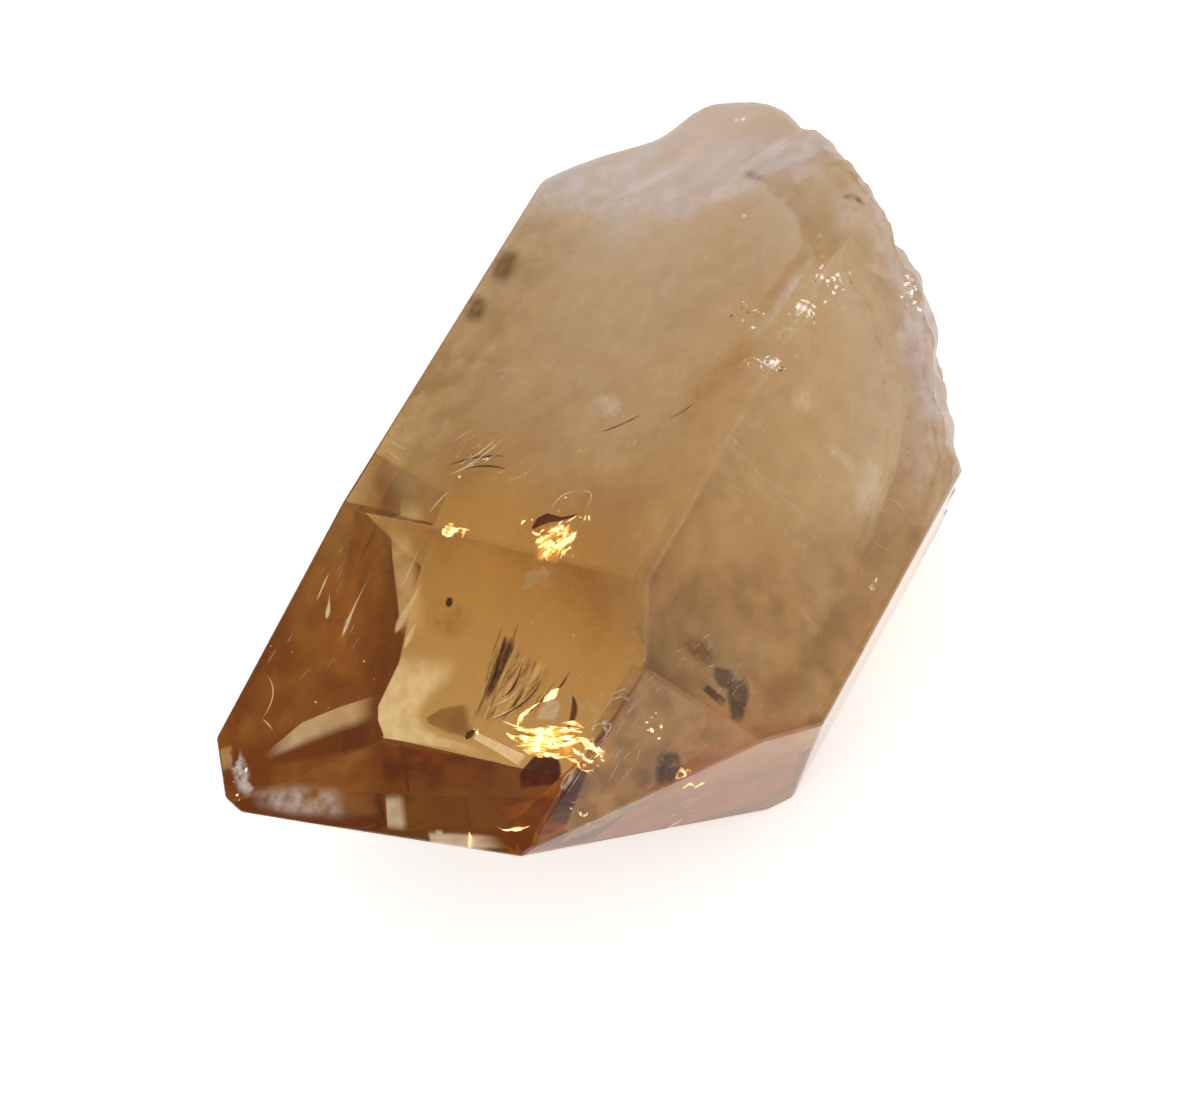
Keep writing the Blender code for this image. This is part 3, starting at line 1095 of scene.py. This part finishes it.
@dataclass
class Inside:
    """Everything that shows inside the crystal."""

    sight: Sight = field(default_factory=Sight)

    def windows(self) -> list[SheetSet]:
        """Pale and dark patches of the point, among them painted light and painted shade, and the hazes that lie under
        single faces.
        """
        # Painted light: a glowing cream sheet where light passes through the crystal near the keel.
        window = Sheet(
            ((406, 646), (391, 677), (377, 706), (377, 720), (384, 738), (410, 742), (450, 748), (500, 764)),
            ((474, 655), (452, 684), (430, 706), (425, 716), (432, 728), (450, 737), (472, 744), (504, 760)),
            (0.3, 0.36), 0.004, 2.0, "large",
        )
        bar = Sheet(
            ((476, 731), (500, 742), (528, 755)), ((472, 738), (496, 752), (520, 767)),
            (0.24, 0.24), 0.002, 2.0, "large",
        )
        # Painted light: the long pale band stands in for a refraction of the back edges seen through the large face.
        band = Sheet(
            ((389, 518), (392, 560), (397, 600), (401, 640)), ((413, 527), (420, 560), (427, 600), (432, 640)),
            (0.4, 0.42), 0.003, 1.0, "large",
        )
        ray = Sheet(
            ((262, 756), (302, 722), (340, 706), (377, 694)), ((262, 764), (304, 748), (342, 733), (378, 722)),
            (0.4, 0.42), 0.003, 1.0, "large",
        )
        foot = Sheet(
            ((385, 792), (386, 812), (387, 830)), ((406, 792), (408, 812), (410, 832)),
            (0.3, 0.3), 0.003, 1.0, "large",
        )
        triangle = Sheet(
            ((534, 755), (524, 766), (518, 774), (520, 791)), ((559, 756), (563, 766), (564, 774), (554, 785)),
            (0.3, 0.3), 0.01, 2.0, "large",
        )
        # Painted shade: a dark amber sheet darkens the view through the keel.
        keel_shade = Sheet(
            ((377, 742), (378, 764), (384, 794)), ((506, 762), (500, 778), (494, 800)), (0.5, 0.5), 0.01, 1.0, "large",
        )
        # Painted shade: brown sheets darken the left of the point and the keel beside the tip.
        shade_left = Sheet(
            ((392, 510), (396, 560), (398, 620), (384, 680), (380, 716)),
            ((344, 512), (300, 580), (260, 650), (228, 706), (226, 770)),
            (0.45, 0.45), 0.01, 1.0, "large",
        )
        shade_keel = Sheet(
            ((384, 740), (384, 780), (384, 822)), ((262, 764), (262, 790), (268, 812)), (0.45, 0.45), 0.01, 1.0, "large",
        )
        tongue = Sheet(
            ((470, 700), (442, 706), (425, 718)), ((480, 744), (450, 736), (426, 722)),
            (0.26, 0.28), 0.002, 1.0, "large",
        )
        cap = Sheet(
            ((531, 529), (537, 518), (547, 513), (562, 517), (580, 513)),
            ((533, 530), (541, 526), (550, 523), (562, 521), (581, 514)),
            (0.12, 0.12), 0.004, 1.0,
        )
        olive = Sheet(((506, 796), (500, 812), (508, 830)), ((556, 788), (550, 812), (538, 826)), (0.3, 0.3), 0.004, 1.0)
        pinkish = Sheet(
            ((644, 668), (612, 722), (584, 776), (553, 858)), ((739, 730), (706, 750), (650, 790), (568, 864)),
            (0.08, 0.08), 0.004, 1.0, "pinkish",
        )
        under = Sheet(
            ((812, 728), (740, 738), (660, 784), (560, 868)), ((790, 786), (764, 802), (680, 826), (530, 852)),
            (0.14, 0.14), 0.002, 1.0, "under",
        )
        foot_band = Sheet(((426, 830), (430, 850)), ((500, 834), (514, 850)), (0.2, 0.2), 0.002, 1.0)
        flank = Sheet(
            ((690, 470), (606, 590), (646, 664), (740, 726)), ((868, 500), (926, 530), (900, 610), (820, 722)),
            (0.03, 0.03), 0.004, 1.0, "striated",
        )
        shoulder = Sheet(
            ((536, 200), (470, 306), (402, 418), (347, 508)), ((640, 200), (570, 320), (500, 440), (450, 530)),
            (0.03, 0.03), 0.004, 1.0, "broad",
        )
        return [
            SheetSet("painted_light_window", (window,), veil(
                "painted_light_veil", Tone.CREAM, 0.93, (0.03, 0.35, 0.14, 0.3), scale=260.0, low=0.0, high=0.3,
            )),
            SheetSet("cream_bar", (bar,), veil(
                "cream_bar", Tone.CREAM, 0.9, (0.12, 0.12, 0.04, 0.1), scale=260.0, low=0.0, high=0.3,
            )),
            # Pale patches, and the painted light of the long band.
            SheetSet("pale_bands", (band, ray, foot, foot_band), veil(
                "pale_veil", Tone.CREAM, 0.6, (0.06, 0.45, 0.3, 0.25), scale=160.0, low=0.0, high=0.4,
            )),
            SheetSet("dark_gaps", (triangle, cap), veil(
                "dark_gap", Tone.EMBER, 0.96, (0.06, 0.1, 0.06, 0.1), scale=300.0, low=0.0, high=0.3,
            )),
            SheetSet("keel_painted_shade", (keel_shade,), veil(
                "keel_shade_veil", Tone.AMBER, 0.85, (0.06, 0.1, 0.03, 0.45), scale=120.0, low=0.1, high=0.6,
            )),
            SheetSet("olive_glass", (tongue, olive), veil(
                "olive_depth", Tone.AMBER, 0.65, (0.15, 0.2, 0.2, 0.1), scale=150.0, low=0.0, high=0.6,
            )),
            SheetSet("painted_shade_point", (shade_left, shade_keel), veil(
                "painted_shade_point", Tone.BROWN, 0.6, (0.2, 0.15, 0.12, 0.15), scale=130.0, low=0.15, high=0.7,
            )),
            SheetSet("tan_haze", (pinkish,), veil(
                "tan_haze", Tone.TAN, 0.8, (0.05, 0.03, 0.03, 0.1), scale=170.0, low=0.0, high=0.55,
            )),
            SheetSet("flank_haze", (flank,), veil(
                "flank_haze", Tone.TAN, 0.75, (0.06, 0.04, 0.5, 0.04), scale=140.0, low=0.0, high=0.6,
            )),
            SheetSet("shoulder_haze", (shoulder,), veil(
                "shoulder_haze", Tone.FAWN, 0.7, (0.04, 0.7, 0.1, 0.35), scale=140.0, low=0.1, high=0.65,
            )),
            SheetSet("honey_haze", (under,), veil(
                "honey_haze", Tone.HONEY, 0.85, (0.03, 0.03, 0.03, 0.03), scale=170.0, low=0.0, high=0.5,
            )),
        ]

    def flashes(self) -> list[StrokeSet | SheetSet]:
        """The two golden cracks whose blaze is painted light, each in overlapping scales, and the films beside them."""
        main = (
            Stroke((513, 728), (548, 731), (580, 728), 8.0, 0.10, 0.45, "large"),
            Stroke((510, 735), (545, 739), (576, 735), 8.0, 0.11, 0.5, "large"),
            Stroke((519, 743), (550, 746), (584, 740), 7.0, 0.12, 0.5, "large"),
            Stroke((522, 749), (540, 754), (560, 754), 7.0, 0.13, 0.45, "large"),
            Stroke((517, 727), (524, 714), (541, 702), 5.5, 0.10, 0.4, "large"),
            Stroke((543, 702), (551, 695), (559, 688), 10.0, 0.10, 0.5, "large"),
            Stroke((536, 728), (540, 738), (536, 752), 12.0, 0.12, 0.5, "large"),
            Stroke((576, 737), (588, 741), (583, 751), 4.5, 0.12, 0.5, "large"),
            Stroke((563, 757), (573, 760), (582, 764), 4.5, 0.13, 0.5, "large"),
            Stroke((548, 752), (558, 757), (572, 755), 4.0, 0.13, 0.5, "large"),
            Stroke((505, 732), (512, 737), (518, 742), 3.5, 0.12, 0.5, "large"),
            Stroke((560, 724), (572, 722), (582, 726), 4.0, 0.12, 0.5, "large"),
            Stroke((497, 826), (510, 830), (530, 826), 5.0, 0.1, 0.7),
            Stroke((469, 832), (470, 840), (469, 848), 5.0, 0.1, 0.5),
            Stroke((553, 795), (565, 803), (572, 808), 3.2, 0.06, 0.4, "large"),
            Stroke((578, 811), (584, 816), (588, 812), 3.2, 0.06, 0.5),
            Stroke((682, 790), (690, 784), (695, 788), 3.0, 0.05, 0.5),
            Stroke((694, 788), (699, 785), (706, 782), 3.0, 0.05, 0.5),
            Stroke((473, 729), (476, 731), (478, 735), 5.0, 0.1, 0.5, "large"),
        )
        second = (
            Stroke((564, 525), (556, 529), (547, 532), 8.0, 0.06, 0.5),
            Stroke((549, 535), (542, 539), (535, 543), 8.0, 0.06, 0.5),
            Stroke((552, 540), (545, 544), (538, 548), 6.0, 0.06, 0.5),
            Stroke((559, 545), (550, 550), (542, 557), 9.0, 0.06, 0.5),
            Stroke((567, 527), (564, 540), (557, 555), 8.0, 0.06, 0.5),
            Stroke((577, 531), (571, 538), (565, 545), 8.0, 0.06, 0.5),
            Stroke((570, 524), (566, 530), (563, 536), 6.0, 0.06, 0.5),
            Stroke((567, 548), (564, 552), (560, 557), 6.0, 0.06, 0.5),
            Stroke((532, 531), (536, 534), (541, 534), 4.0, 0.06, 0.5),
            Stroke((577, 515), (572, 519), (564, 523), 2.0, 0.06, 0.5),
            Stroke((586, 514), (585, 518), (583, 521), 2.4, 0.06, 0.5),
            Stroke((589, 515), (589, 518), (590, 521), 2.4, 0.06, 0.5),
            Stroke((526, 520), (523, 522), (521, 525), 2.6, 0.06, 0.5),
            Stroke((444, 526), (452, 529), (462, 528), 6.0, 0.06, 0.35),
            Stroke((458, 527), (463, 529), (470, 530), 5.0, 0.06, 0.5),
        )
        film = Sheet(
            ((514, 566), (511, 580), (515, 592)), ((560, 560), (560, 576), (548, 594)), (0.08, 0.08), 0.01, 2.0, "large",
        )
        scales = Sheet(
            ((578, 694), (577, 708), (582, 722)), ((598, 694), (605, 708), (601, 724)), (0.1, 0.1), 0.01, 2.0, "large",
        )
        lens = Sheet(
            ((550, 698), (538, 710), (534, 720)), ((560, 700), (562, 710), (556, 722)), (0.1, 0.1), 0.004, 1.0, "large",
        )
        fan = Sheet(
            ((500, 630), (486, 664), (474, 700), (468, 722)), ((556, 664), (545, 690), (530, 710), (512, 726)),
            (0.17, 0.17), 0.004, 2.0, "large",
        )
        fan_dark = Sheet(
            ((506, 634), (496, 656), (487, 680), (484, 700)), ((518, 638), (510, 662), (499, 684), (490, 702)),
            (0.16, 0.16), 0.002, 2.0, "large",
        )
        bed = Sheet(
            ((506, 728), (510, 742), (520, 756)), ((590, 722), (592, 740), (586, 762)), (0.14, 0.14), 0.004, 1.0, "large",
        )
        small_bed = Sheet(
            ((528, 528), (532, 542), (540, 558)), ((578, 520), (576, 538), (562, 560)), (0.08, 0.08), 0.004, 1.0,
        )
        chance = np.random.default_rng(33)
        spray = HairField((546, 738), (15, 8), 4.0, 34, 22.0, 2.6, 0.1, "large").strokes(chance)
        flecks = HairField((584, 750), (5, 8), 30.0, 12, 9.0, 2.4, 0.1, "large").strokes(chance)
        small_spray = HairField((555, 541), (8, 8), -38.0, 22, 10.0, 2.6, 0.06).strokes(chance)
        return [
            StrokeSet("golden_flash", (*main, *spray, *flecks), BlazeFinish("golden_blaze")),
            StrokeSet("small_flash", (*second, *small_spray), BlazeFinish(
                "small_blaze", core=(1.0, 0.88, 0.55), glow=1.3,
            )),
            SheetSet("flash_bed", (bed, small_bed), PaintedFoldShadeFinish(
                "flash_bed", (0.85, 0.55, 0.14), (0.30, 0.13, 0.01), 3.0, 0.75,
            )),
            SheetSet("folded_fan", (fan,), PaintedFoldShadeFinish(
                "fan_folds", (0.80, 0.54, 0.24), (0.15, 0.062, 0.006), 11.0, 0.9, 0.45,
            )),
            SheetSet("fan_shade", (fan_dark,), PaintedFoldShadeFinish(
                "fan_shade", (0.30, 0.14, 0.02), (0.07, 0.026, 0.002), 4.0, 0.9, 0.3,
            )),
            SheetSet("rainbow_films", (film, scales), RainbowFinish()),
            SheetSet("pale_lens", (lens,), veil(
                "lens_veil", Tone.MILK, 0.45, (0.2, 0.2, 0.15, 0.15), scale=500.0, low=0.0, high=0.4,
            )),
        ]

    def smoke(self) -> list[SheetSet]:
        """Dark inclusions and brown patches, and painted shade along the ridge."""
        near, skin = (0.02, 0.02), (0.012, 0.012)
        block = Sheet(((713, 664), (710, 676), (720, 690)), ((734, 668), (738, 680), (738, 692)), near, 0.001, 3.0)
        core = Sheet(((727, 676), (724, 696), (732, 724)), ((748, 676), (753, 694), (742, 726)), near, 0.001, 3.0)
        bar = Sheet(((700, 688), (711, 699), (724, 709)), ((706, 682), (718, 691), (729, 701)), near, 0.001, 1.0)
        oval = Sheet(((660, 748), (651, 768), (655, 788)), ((679, 749), (686, 768), (674, 785)), near, 0.001, 1.0)
        left_spot = Sheet(((464, 294), (458, 310), (466, 328)), ((486, 290), (492, 306), (484, 324)), skin, 0.001, 1.0)
        spot = Sheet(
            ((448, 596), (444, 602), (447, 609)), ((453, 597), (454, 602), (451, 608)),
            (0.1, 0.1), 0.004, 1.0, "large",
        )
        flecks = Sheet(((668, 636), (686, 658), (706, 676)), ((692, 626), (710, 642), (728, 664)), skin, 0.001, 4.0)
        blob = Sheet(((630, 762), (624, 778), (630, 794)), ((654, 760), (656, 778), (650, 790)), skin, 0.001, 1.0)
        left_patch = Sheet(((494, 244), (488, 262), (484, 282)), ((528, 246), (522, 268), (508, 290)), skin, 0.001, 1.0)
        smudge = Sheet(
            ((426, 594), (420, 616), (432, 642)), ((472, 600), (480, 622), (464, 646)), (0.2, 0.2), 0.01, 2.0, "large",
        )
        # Painted shade: slant and upper darken a soft line along the ridge, left of its glints; smudge is a brown
        # patch.
        slant = Sheet(((746, 322), (698, 374), (652, 424)), ((778, 340), (734, 392), (688, 440)), skin, 0.001, 2.0)
        upper = Sheet(((806, 236), (776, 276), (744, 316)), ((822, 244), (794, 288), (762, 330)), skin, 0.001, 2.0)
        rough = (0.03, 0.03)
        notch = Sheet(((740, 166), (753, 167), (768, 172)), ((742, 175), (755, 182), (768, 186)), rough, 0.001, 1.0)
        crease = Sheet(((840, 194), (853, 192), (868, 202)), ((842, 201), (854, 200), (864, 209)), rough, 0.001, 1.0)
        return [
            SheetSet("dark_inclusions", (block, core, bar, oval, spot), veil(
                "smoke_inclusion", Tone.SMOKE, 0.97, (0.25, 0.25, 0.22, 0.22), scale=900.0, low=0.2, high=0.44,
            )),
            SheetSet("umber_patches", (left_spot, left_patch, blob, flecks, notch, crease), veil(
                "umber_patch", Tone.UMBER, 0.75, (0.4, 0.4, 0.35, 0.35), scale=500.0, low=0.25, high=0.55,
            )),
            SheetSet("smudge_and_ridge_shade", (smudge, slant, upper), veil(
                "smudge_and_ridge_shade_veil", Tone.BROWN, 0.5, (0.4, 0.4, 0.3, 0.3), scale=400.0, low=0.25, high=0.6,
            )),
        ]

    def milk(self) -> list[SheetSet]:
        """Milky patches near the surface, with a painted sheen and a painted lavender reflection on the broken end."""
        skin, near, low, deep = (0.03, 0.03), (0.04, 0.04), (0.05, 0.05), (0.1, 0.1)
        tip = Sheet(
            ((244, 786), (300, 780), (360, 786)), ((252, 812), (300, 820), (360, 826)),
            (0.1, 0.12), 0.01, 1.0, "large",
        )
        tip_chips = Sheet(((226, 744), (228, 770), (238, 798)), ((240, 742), (252, 772), (262, 800)), near, 0.004, 2.0)
        side = Sheet(
            ((858, 450), (850, 485), (852, 520)), ((886, 452), (892, 485), (876, 525)), (0.05, 0.06), 0.01, 2.0,
        )
        upper = Sheet(((790, 384), (788, 400), (796, 416)), ((810, 386), (818, 400), (812, 416)), low, 0.01, 1.0)
        streaks = Sheet(((818, 446), (836, 462), (850, 482)), ((830, 440), (856, 456), (868, 480)), deep, 0.01, 3.0)
        patch = Sheet(((588, 392), (588, 406), (598, 422)), ((618, 389), (630, 403), (622, 420)), deep, 0.01, 4.0)
        block = Sheet(((433, 829), (434, 844)), ((446, 830), (446, 845)), (0.15, 0.15), 0.002, 1.0)
        # Painted highlight: the sheen sheet is the white reflection on the broken end.
        sheen = Sheet(((692, 184), (724, 182), (762, 172)), ((694, 206), (726, 204), (764, 190)), skin, 0.002, 1.0)
        # The lilac sheets are milky cloud with a painted lavender sheen.
        knob = Sheet(((648, 118), (664, 150), (680, 182)), ((742, 112), (752, 138), (748, 166)), skin, 0.004, 2.0)
        slope = Sheet(((540, 186), (596, 160), (648, 132)), ((560, 212), (624, 196), (690, 180)), skin, 0.004, 2.0)
        ledge = Sheet(((862, 254), (880, 262), (904, 268)), ((860, 268), (880, 280), (908, 286)), near, 0.004, 2.0)
        corner = Sheet(((914, 300), (922, 326), (926, 352)), ((930, 296), (936, 324), (938, 350)), near, 0.004, 2.0)
        ridge = Sheet(((806, 250), (776, 296), (742, 340)), ((818, 256), (790, 304), (756, 348)), skin, 0.002, 2.0)
        return [
            SheetSet("milky_patches_and_sheen", (tip, side, upper, streaks, patch, sheen, ridge), veil(
                "milk_and_sheen_patch", Tone.MILK, 0.6, (0.4, 0.4, 0.3, 0.35), scale=420.0, low=0.25, high=0.6,
            )),
            SheetSet("white_chips", (block, tip_chips), veil(
                "white_chip", Tone.MILK, 0.7, (0.4, 0.4, 0.2, 0.2), scale=900.0, low=0.4, high=0.6,
            )),
            SheetSet("lilac_sheen_clouds", (knob, slope, ledge, corner), veil(
                "lilac_sheen_cloud", Tone.LILAC, 0.35, (0.4, 0.4, 0.35, 0.35), scale=420.0, low=0.35, high=0.65,
            )),
        ]

    def strokes(self) -> list[StrokeSet]:
        """Dark cracks of the fan, white needles and hair cracks."""
        fan = (
            Stroke((506, 634), (498, 664), (489, 696), 4.0, 0.14, 0.3, "large"),
            Stroke((512, 634), (504, 664), (491, 692), 2.4, 0.14, 0.5, "large"),
            Stroke((523, 658), (515, 684), (500, 698), 2.6, 0.15, 0.5, "large"),
            Stroke((541, 678), (524, 702), (488, 721), 3.0, 0.15, 0.5, "large"),
            Stroke((548, 690), (534, 708), (512, 720), 2.4, 0.15, 0.5, "large"),
            Stroke((572, 662), (566, 678), (557, 690), 3.2, 0.12, 0.75, "large"),
            Stroke((466, 740), (470, 734), (478, 729), 9.0, 0.13, 0.5, "large"),
            Stroke((572, 694), (574, 712), (566, 730), 9.0, 0.16, 0.5, "large"),
            Stroke((550, 796), (570, 810), (588, 820), 5.0, 0.06, 0.5, "large"),
            Stroke((600, 432), (620, 425), (642, 414), 3.0, 0.07, 0.5),
            Stroke((668, 418), (682, 412), (694, 402), 3.0, 0.07, 0.5),
            Stroke((446, 466), (476, 458), (506, 456), 4.0, 0.07, 0.5),
            Stroke((462, 470), (486, 466), (508, 470), 3.0, 0.07, 0.5),
        )
        pale = (
            Stroke((329, 588), (329, 604), (326, 620), 6.0, 0.12, 0.75, "large"),
            Stroke((329, 572), (323, 586), (316, 601), 2.2, 0.12, 0.5, "large"),
            Stroke((382, 554), (359, 597), (341, 640), 4.2, 0.14, 0.82, "large"),
            Stroke((431, 572), (413, 600), (394, 636), 11.0, 0.3, 0.78, "large"),
            Stroke((417, 621), (411, 634), (404, 649), 8.0, 0.3, 0.6, "large"),
            Stroke((420, 545), (410, 570), (400, 592), 2.0, 0.3, 0.5, "large"),
            Stroke((538, 684), (520, 704), (486, 720), 4.0, 0.17, 0.5, "large"),
            Stroke((530, 676), (514, 694), (492, 706), 3.0, 0.17, 0.5, "large"),
            Stroke((550, 511), (562, 496), (577, 492), 1.4, 0.07, 0.5),
            Stroke((577, 492), (591, 494), (585, 509), 1.4, 0.07, 0.5),
            Stroke((697, 634), (694, 642), (690, 650), 1.8, 0.05, 0.5),
            Stroke((710, 640), (709, 646), (707, 653), 1.8, 0.05, 0.5),
            Stroke((683, 818), (675, 824), (666, 829), 1.8, 0.04, 0.5),
            Stroke((266, 674), (273, 694), (262, 719), 1.6, 0.1, 0.5, "large"),
            Stroke((262, 719), (268, 724), (273, 731), 1.6, 0.1, 0.5, "large"),
            Stroke((450, 490), (440, 500), (428, 514), 1.6, 0.1, 0.5),
            Stroke((389, 437), (398, 446), (410, 449), 2.0, 0.08, 0.5),
            Stroke((404, 418), (406, 432), (410, 444), 1.6, 0.08, 0.5),
            Stroke((386, 448), (394, 456), (404, 462), 1.4, 0.08, 0.5),
            Stroke((446, 476), (474, 462), (500, 440), 2.2, 0.07, 0.5),
            Stroke((455, 466), (480, 452), (498, 436), 1.6, 0.07, 0.5),
            Stroke((800, 604), (806, 616), (818, 626), 2.2, 0.05, 0.5),
        )
        fields = (
            HairField((622, 728), (26, 30), -55.0, 34, 22.0),
            HairField((508, 374), (14, 8), 165.0, 12, 20.0),
            HairField((780, 300), (34, 34), -60.0, 34, 15.0),
            HairField((810, 470), (44, 60), 37.0, 50, 26.0),
            HairField((840, 560), (30, 40), -60.0, 26, 18.0),
            HairField((450, 400), (30, 50), -50.0, 22, 18.0),
            HairField((330, 620), (30, 50), -60.0, 18, 18.0, 0.9),
            HairField((640, 350), (70, 60), -45.0, 40, 12.0, 0.8),
            HairField((470, 455), (26, 10), -28.0, 18, 22.0, 1.3),
            HairField((700, 800), (30, 16), -30.0, 12, 24.0, 0.9),
            HairField((700, 655), (12, 12), -40.0, 16, 9.0, 1.3, 0.01),
            HairField((738, 690), (12, 16), -50.0, 14, 9.0, 1.5, 0.01),
        )
        folds = (
            HairField((498, 666), (8, 16), -66.0, 9, 34.0, 2.2, 0.15, "large"),
            HairField((522, 692), (14, 9), -48.0, 8, 26.0, 2.0, 0.15, "large"),
        )
        chance = np.random.default_rng(21)
        hairs = tuple(itertools.chain.from_iterable(each.strokes(chance) for each in fields))
        pleats = tuple(itertools.chain.from_iterable(each.strokes(chance) for each in folds))
        return [
            StrokeSet("dark_cracks", fan, veil(
                "smoke_crack", Tone.SMOKE, 0.9, (0.3, 0.3, 0.1, 0.1), scale=500.0, low=0.1, high=0.4,
            )),
            StrokeSet("dark_pleats", pleats, veil(
                "umber_pleat", Tone.UMBER, 0.6, (0.5, 0.5, 0.2, 0.2), scale=500.0, low=0.1, high=0.4,
            ), 4, 8),
            StrokeSet("pale_needles", pale, veil(
                "needle", Tone.CREAM, 0.75, (0.35, 0.35, 0.1, 0.1), scale=500.0, low=0.1, high=0.4,
            )),
            StrokeSet("hair_cracks", hairs, veil(
                "hair_crack", Tone.MILK, 0.55, (0.4, 0.4, 0.1, 0.1), scale=900.0, low=0.2, high=0.6,
            ), 4, 8),
        ]

    def glints(self) -> list[GlintSet]:
        """Flakes along the ridge, at the crumbled ledge and in the veils, with painted glints."""
        white = (
            Swarm((762, 364), (9, 4), 0.0, 16, 0.32),
            Swarm((808, 314), (5, 5), 0.0, 12, 0.3),
            Swarm((832, 282), (9, 10), 0.0, 26, 0.22),
            Swarm((750, 314), (8, 8), 0.0, 16, 0.2),
            Swarm((910, 290), (9, 8), 20.0, 34, 0.28, (0.01, 0.05)),
            Swarm((738, 118), (4, 3), 0.0, 4, 0.3),
            Swarm((808, 148), (4, 4), 0.0, 7, 0.26),
            Swarm((606, 405), (9, 7), 0.0, 16, 0.25, (0.25, 0.35)),
            Swarm((874, 586), (2, 3), 0.0, 6, 0.28),
            Swarm((238, 780), (5, 12), 0.0, 22, 0.22, (0.02, 0.1)),
            Swarm((790, 260), (60, 40), 0.0, 46, 0.09, (0.02, 0.3)),
            Swarm((640, 330), (90, 60), 0.0, 60, 0.07, (0.05, 0.5)),
        )
        gold = (
            Swarm((470, 460), (18, 6), 25.0, 22, 0.2, (0.25, 0.4)),
            Swarm((630, 444), (4, 4), 0.0, 6, 0.16, (0.25, 0.4)),
            Swarm((580, 456), (4, 5), 0.0, 6, 0.18, (0.25, 0.4)),
            Swarm((552, 540), (22, 20), 0.0, 20, 0.10, (0.05, 0.2)),
            Swarm((572, 806), (9, 5), -30.0, 8, 0.18, (0.03, 0.06)),
            Swarm((655, 724), (4, 8), 0.0, 14, 0.12, (0.02, 0.05)),
            Swarm((520, 640), (60, 40), 0.0, 34, 0.06, (0.1, 0.5)),
            Swarm((320, 690), (30, 40), 0.0, 16, 0.07, (0.1, 0.4)),
        )
        return [
            GlintSet("white_glints", white, GlintFinish("white_glint", (1.0, 0.97, 0.94), 0.9), 11),
            GlintSet("gold_glints", gold, GlintFinish("gold_glint", (1.0, 0.84, 0.5), 1.2), 12),
        ]

    def build(self, groups: Groups) -> list[bpy.types.Object]:
        """Make every inner piece."""
        sets = [*self.windows(), *self.flashes(), *self.smoke(), *self.milk(), *self.strokes(), *self.glints()]
        return [each.build(self.sight, groups) for each in sets]


@dataclass
class Haze:
    """The milky skin of the broken end and the haze that fills the body."""

    crystal: CrystalBody

    def build(self, groups: Groups) -> list[bpy.types.Object]:
        """Three shells, each deeper in the crystal."""
        shells = (
            MilkShell(
                "milky_skin", 0.6, 0.8, 2.4, 0.34, (0.0, 26.0), 3,
                MilkFinish("milky_skin", thin=0.3, scale=420.0, vanish=(0.8, 1.0)), flank=(22.0, 32.0), rounding=0.15,
            ),
            MilkShell("outer_haze", 2.4, 0.65, 5.0, 0.4, (-12.0, 14.0), 5, MilkFinish("outer_haze", thin=0.5)),
            MilkShell(
                "inner_haze", 7.0, 0.9, 8.0, 0.9, (-16.0, 8.0), 8, MilkFinish("inner_haze", thin=0.75), rounding=2.5,
            ),
        )
        return [shell.build(self.crystal, groups) for shell in shells]


@dataclass
class Studio:
    """Pale floor, soft light and the photograph's camera."""

    side: float = 3000.0
    gap: float = 0.05
    floor_tone: float = 0.94
    floor_glow: float = 0.58
    lamp: tuple[float, float, float] = (0.0, -0.45, 0.89)
    lamp_span: tuple[float, float] = (0.2, 0.95)
    strength: tuple[float, float] = (0.15, 1.1)
    camera: PhotoCamera = field(default_factory=PhotoCamera)

    def floor(self) -> None:
        """Plain pale floor."""
        z = -HEART[2] - self.gap
        side = self.side
        corners = np.array([[-side, -side, z], [side, -side, z], [side, side, z], [-side, side, z]])
        plane = make_object("floor", corners, [[0, 1, 2, 3]])
        made, _, shader = new_material("pale_floor")
        shader.inputs["Base Color"].default_value = (self.floor_tone, self.floor_tone, self.floor_tone, 1.0)
        shader.inputs["Roughness"].default_value = 0.9
        shader.inputs["Specular IOR Level"].default_value = 0.0
        shader.inputs["Emission Color"].default_value = (1.0, 1.0, 1.0, 1.0)
        shader.inputs["Emission Strength"].default_value = self.floor_glow
        plane.data.materials.append(made)

    def light(self) -> None:
        """Soft light all round, bright above the camera's side and dim low down and on the far side."""
        world = bpy.data.worlds.new("studio")
        bpy.context.scene.world = world
        world.use_nodes = True
        world.cycles.sampling_method = "NONE"
        bench = Bench(world.node_tree)
        sky = bench.node("TexCoord").outputs["Generated"]
        facing = bench.node("VectorMath", {0: sky, 1: self.lamp}, operation="DOT_PRODUCT").outputs["Value"]
        strength = bench.node("MapRange", {
            "Value": facing, "From Min": self.lamp_span[0], "From Max": self.lamp_span[1],
            "To Min": self.strength[0], "To Max": self.strength[1],
        })
        ground = world.node_tree.nodes["Background"]
        ground.inputs["Color"].default_value = (1.0, 1.0, 1.0, 1.0)
        bench.feed(ground.inputs["Strength"], strength.outputs["Result"])

    def build(self) -> None:
        """Make the floor, the light and the camera."""
        self.floor()
        self.light()
        self.camera.place()
        bpy.context.scene.view_settings.view_transform = "Standard"


def main() -> None:
    """Build the crystal, what shows inside it, and the studio in order."""
    logging.basicConfig(level=logging.INFO, format="%(name)s: %(message)s")
    groups = Groups()
    body = CrystalBody()
    crystal = body.build()
    pieces = [crystal, *Haze(body).build(groups), *Inside().build(groups)]
    for piece in pieces:
        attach(piece, "root")
        LOG.info("%s: %d faces", piece.name, len(piece.data.polygons))
    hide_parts("citrine_crystal")
    Studio().build()
    LOG.info("studio: floor, light and camera")
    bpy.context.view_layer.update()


if __name__ == "__main__":
    main()
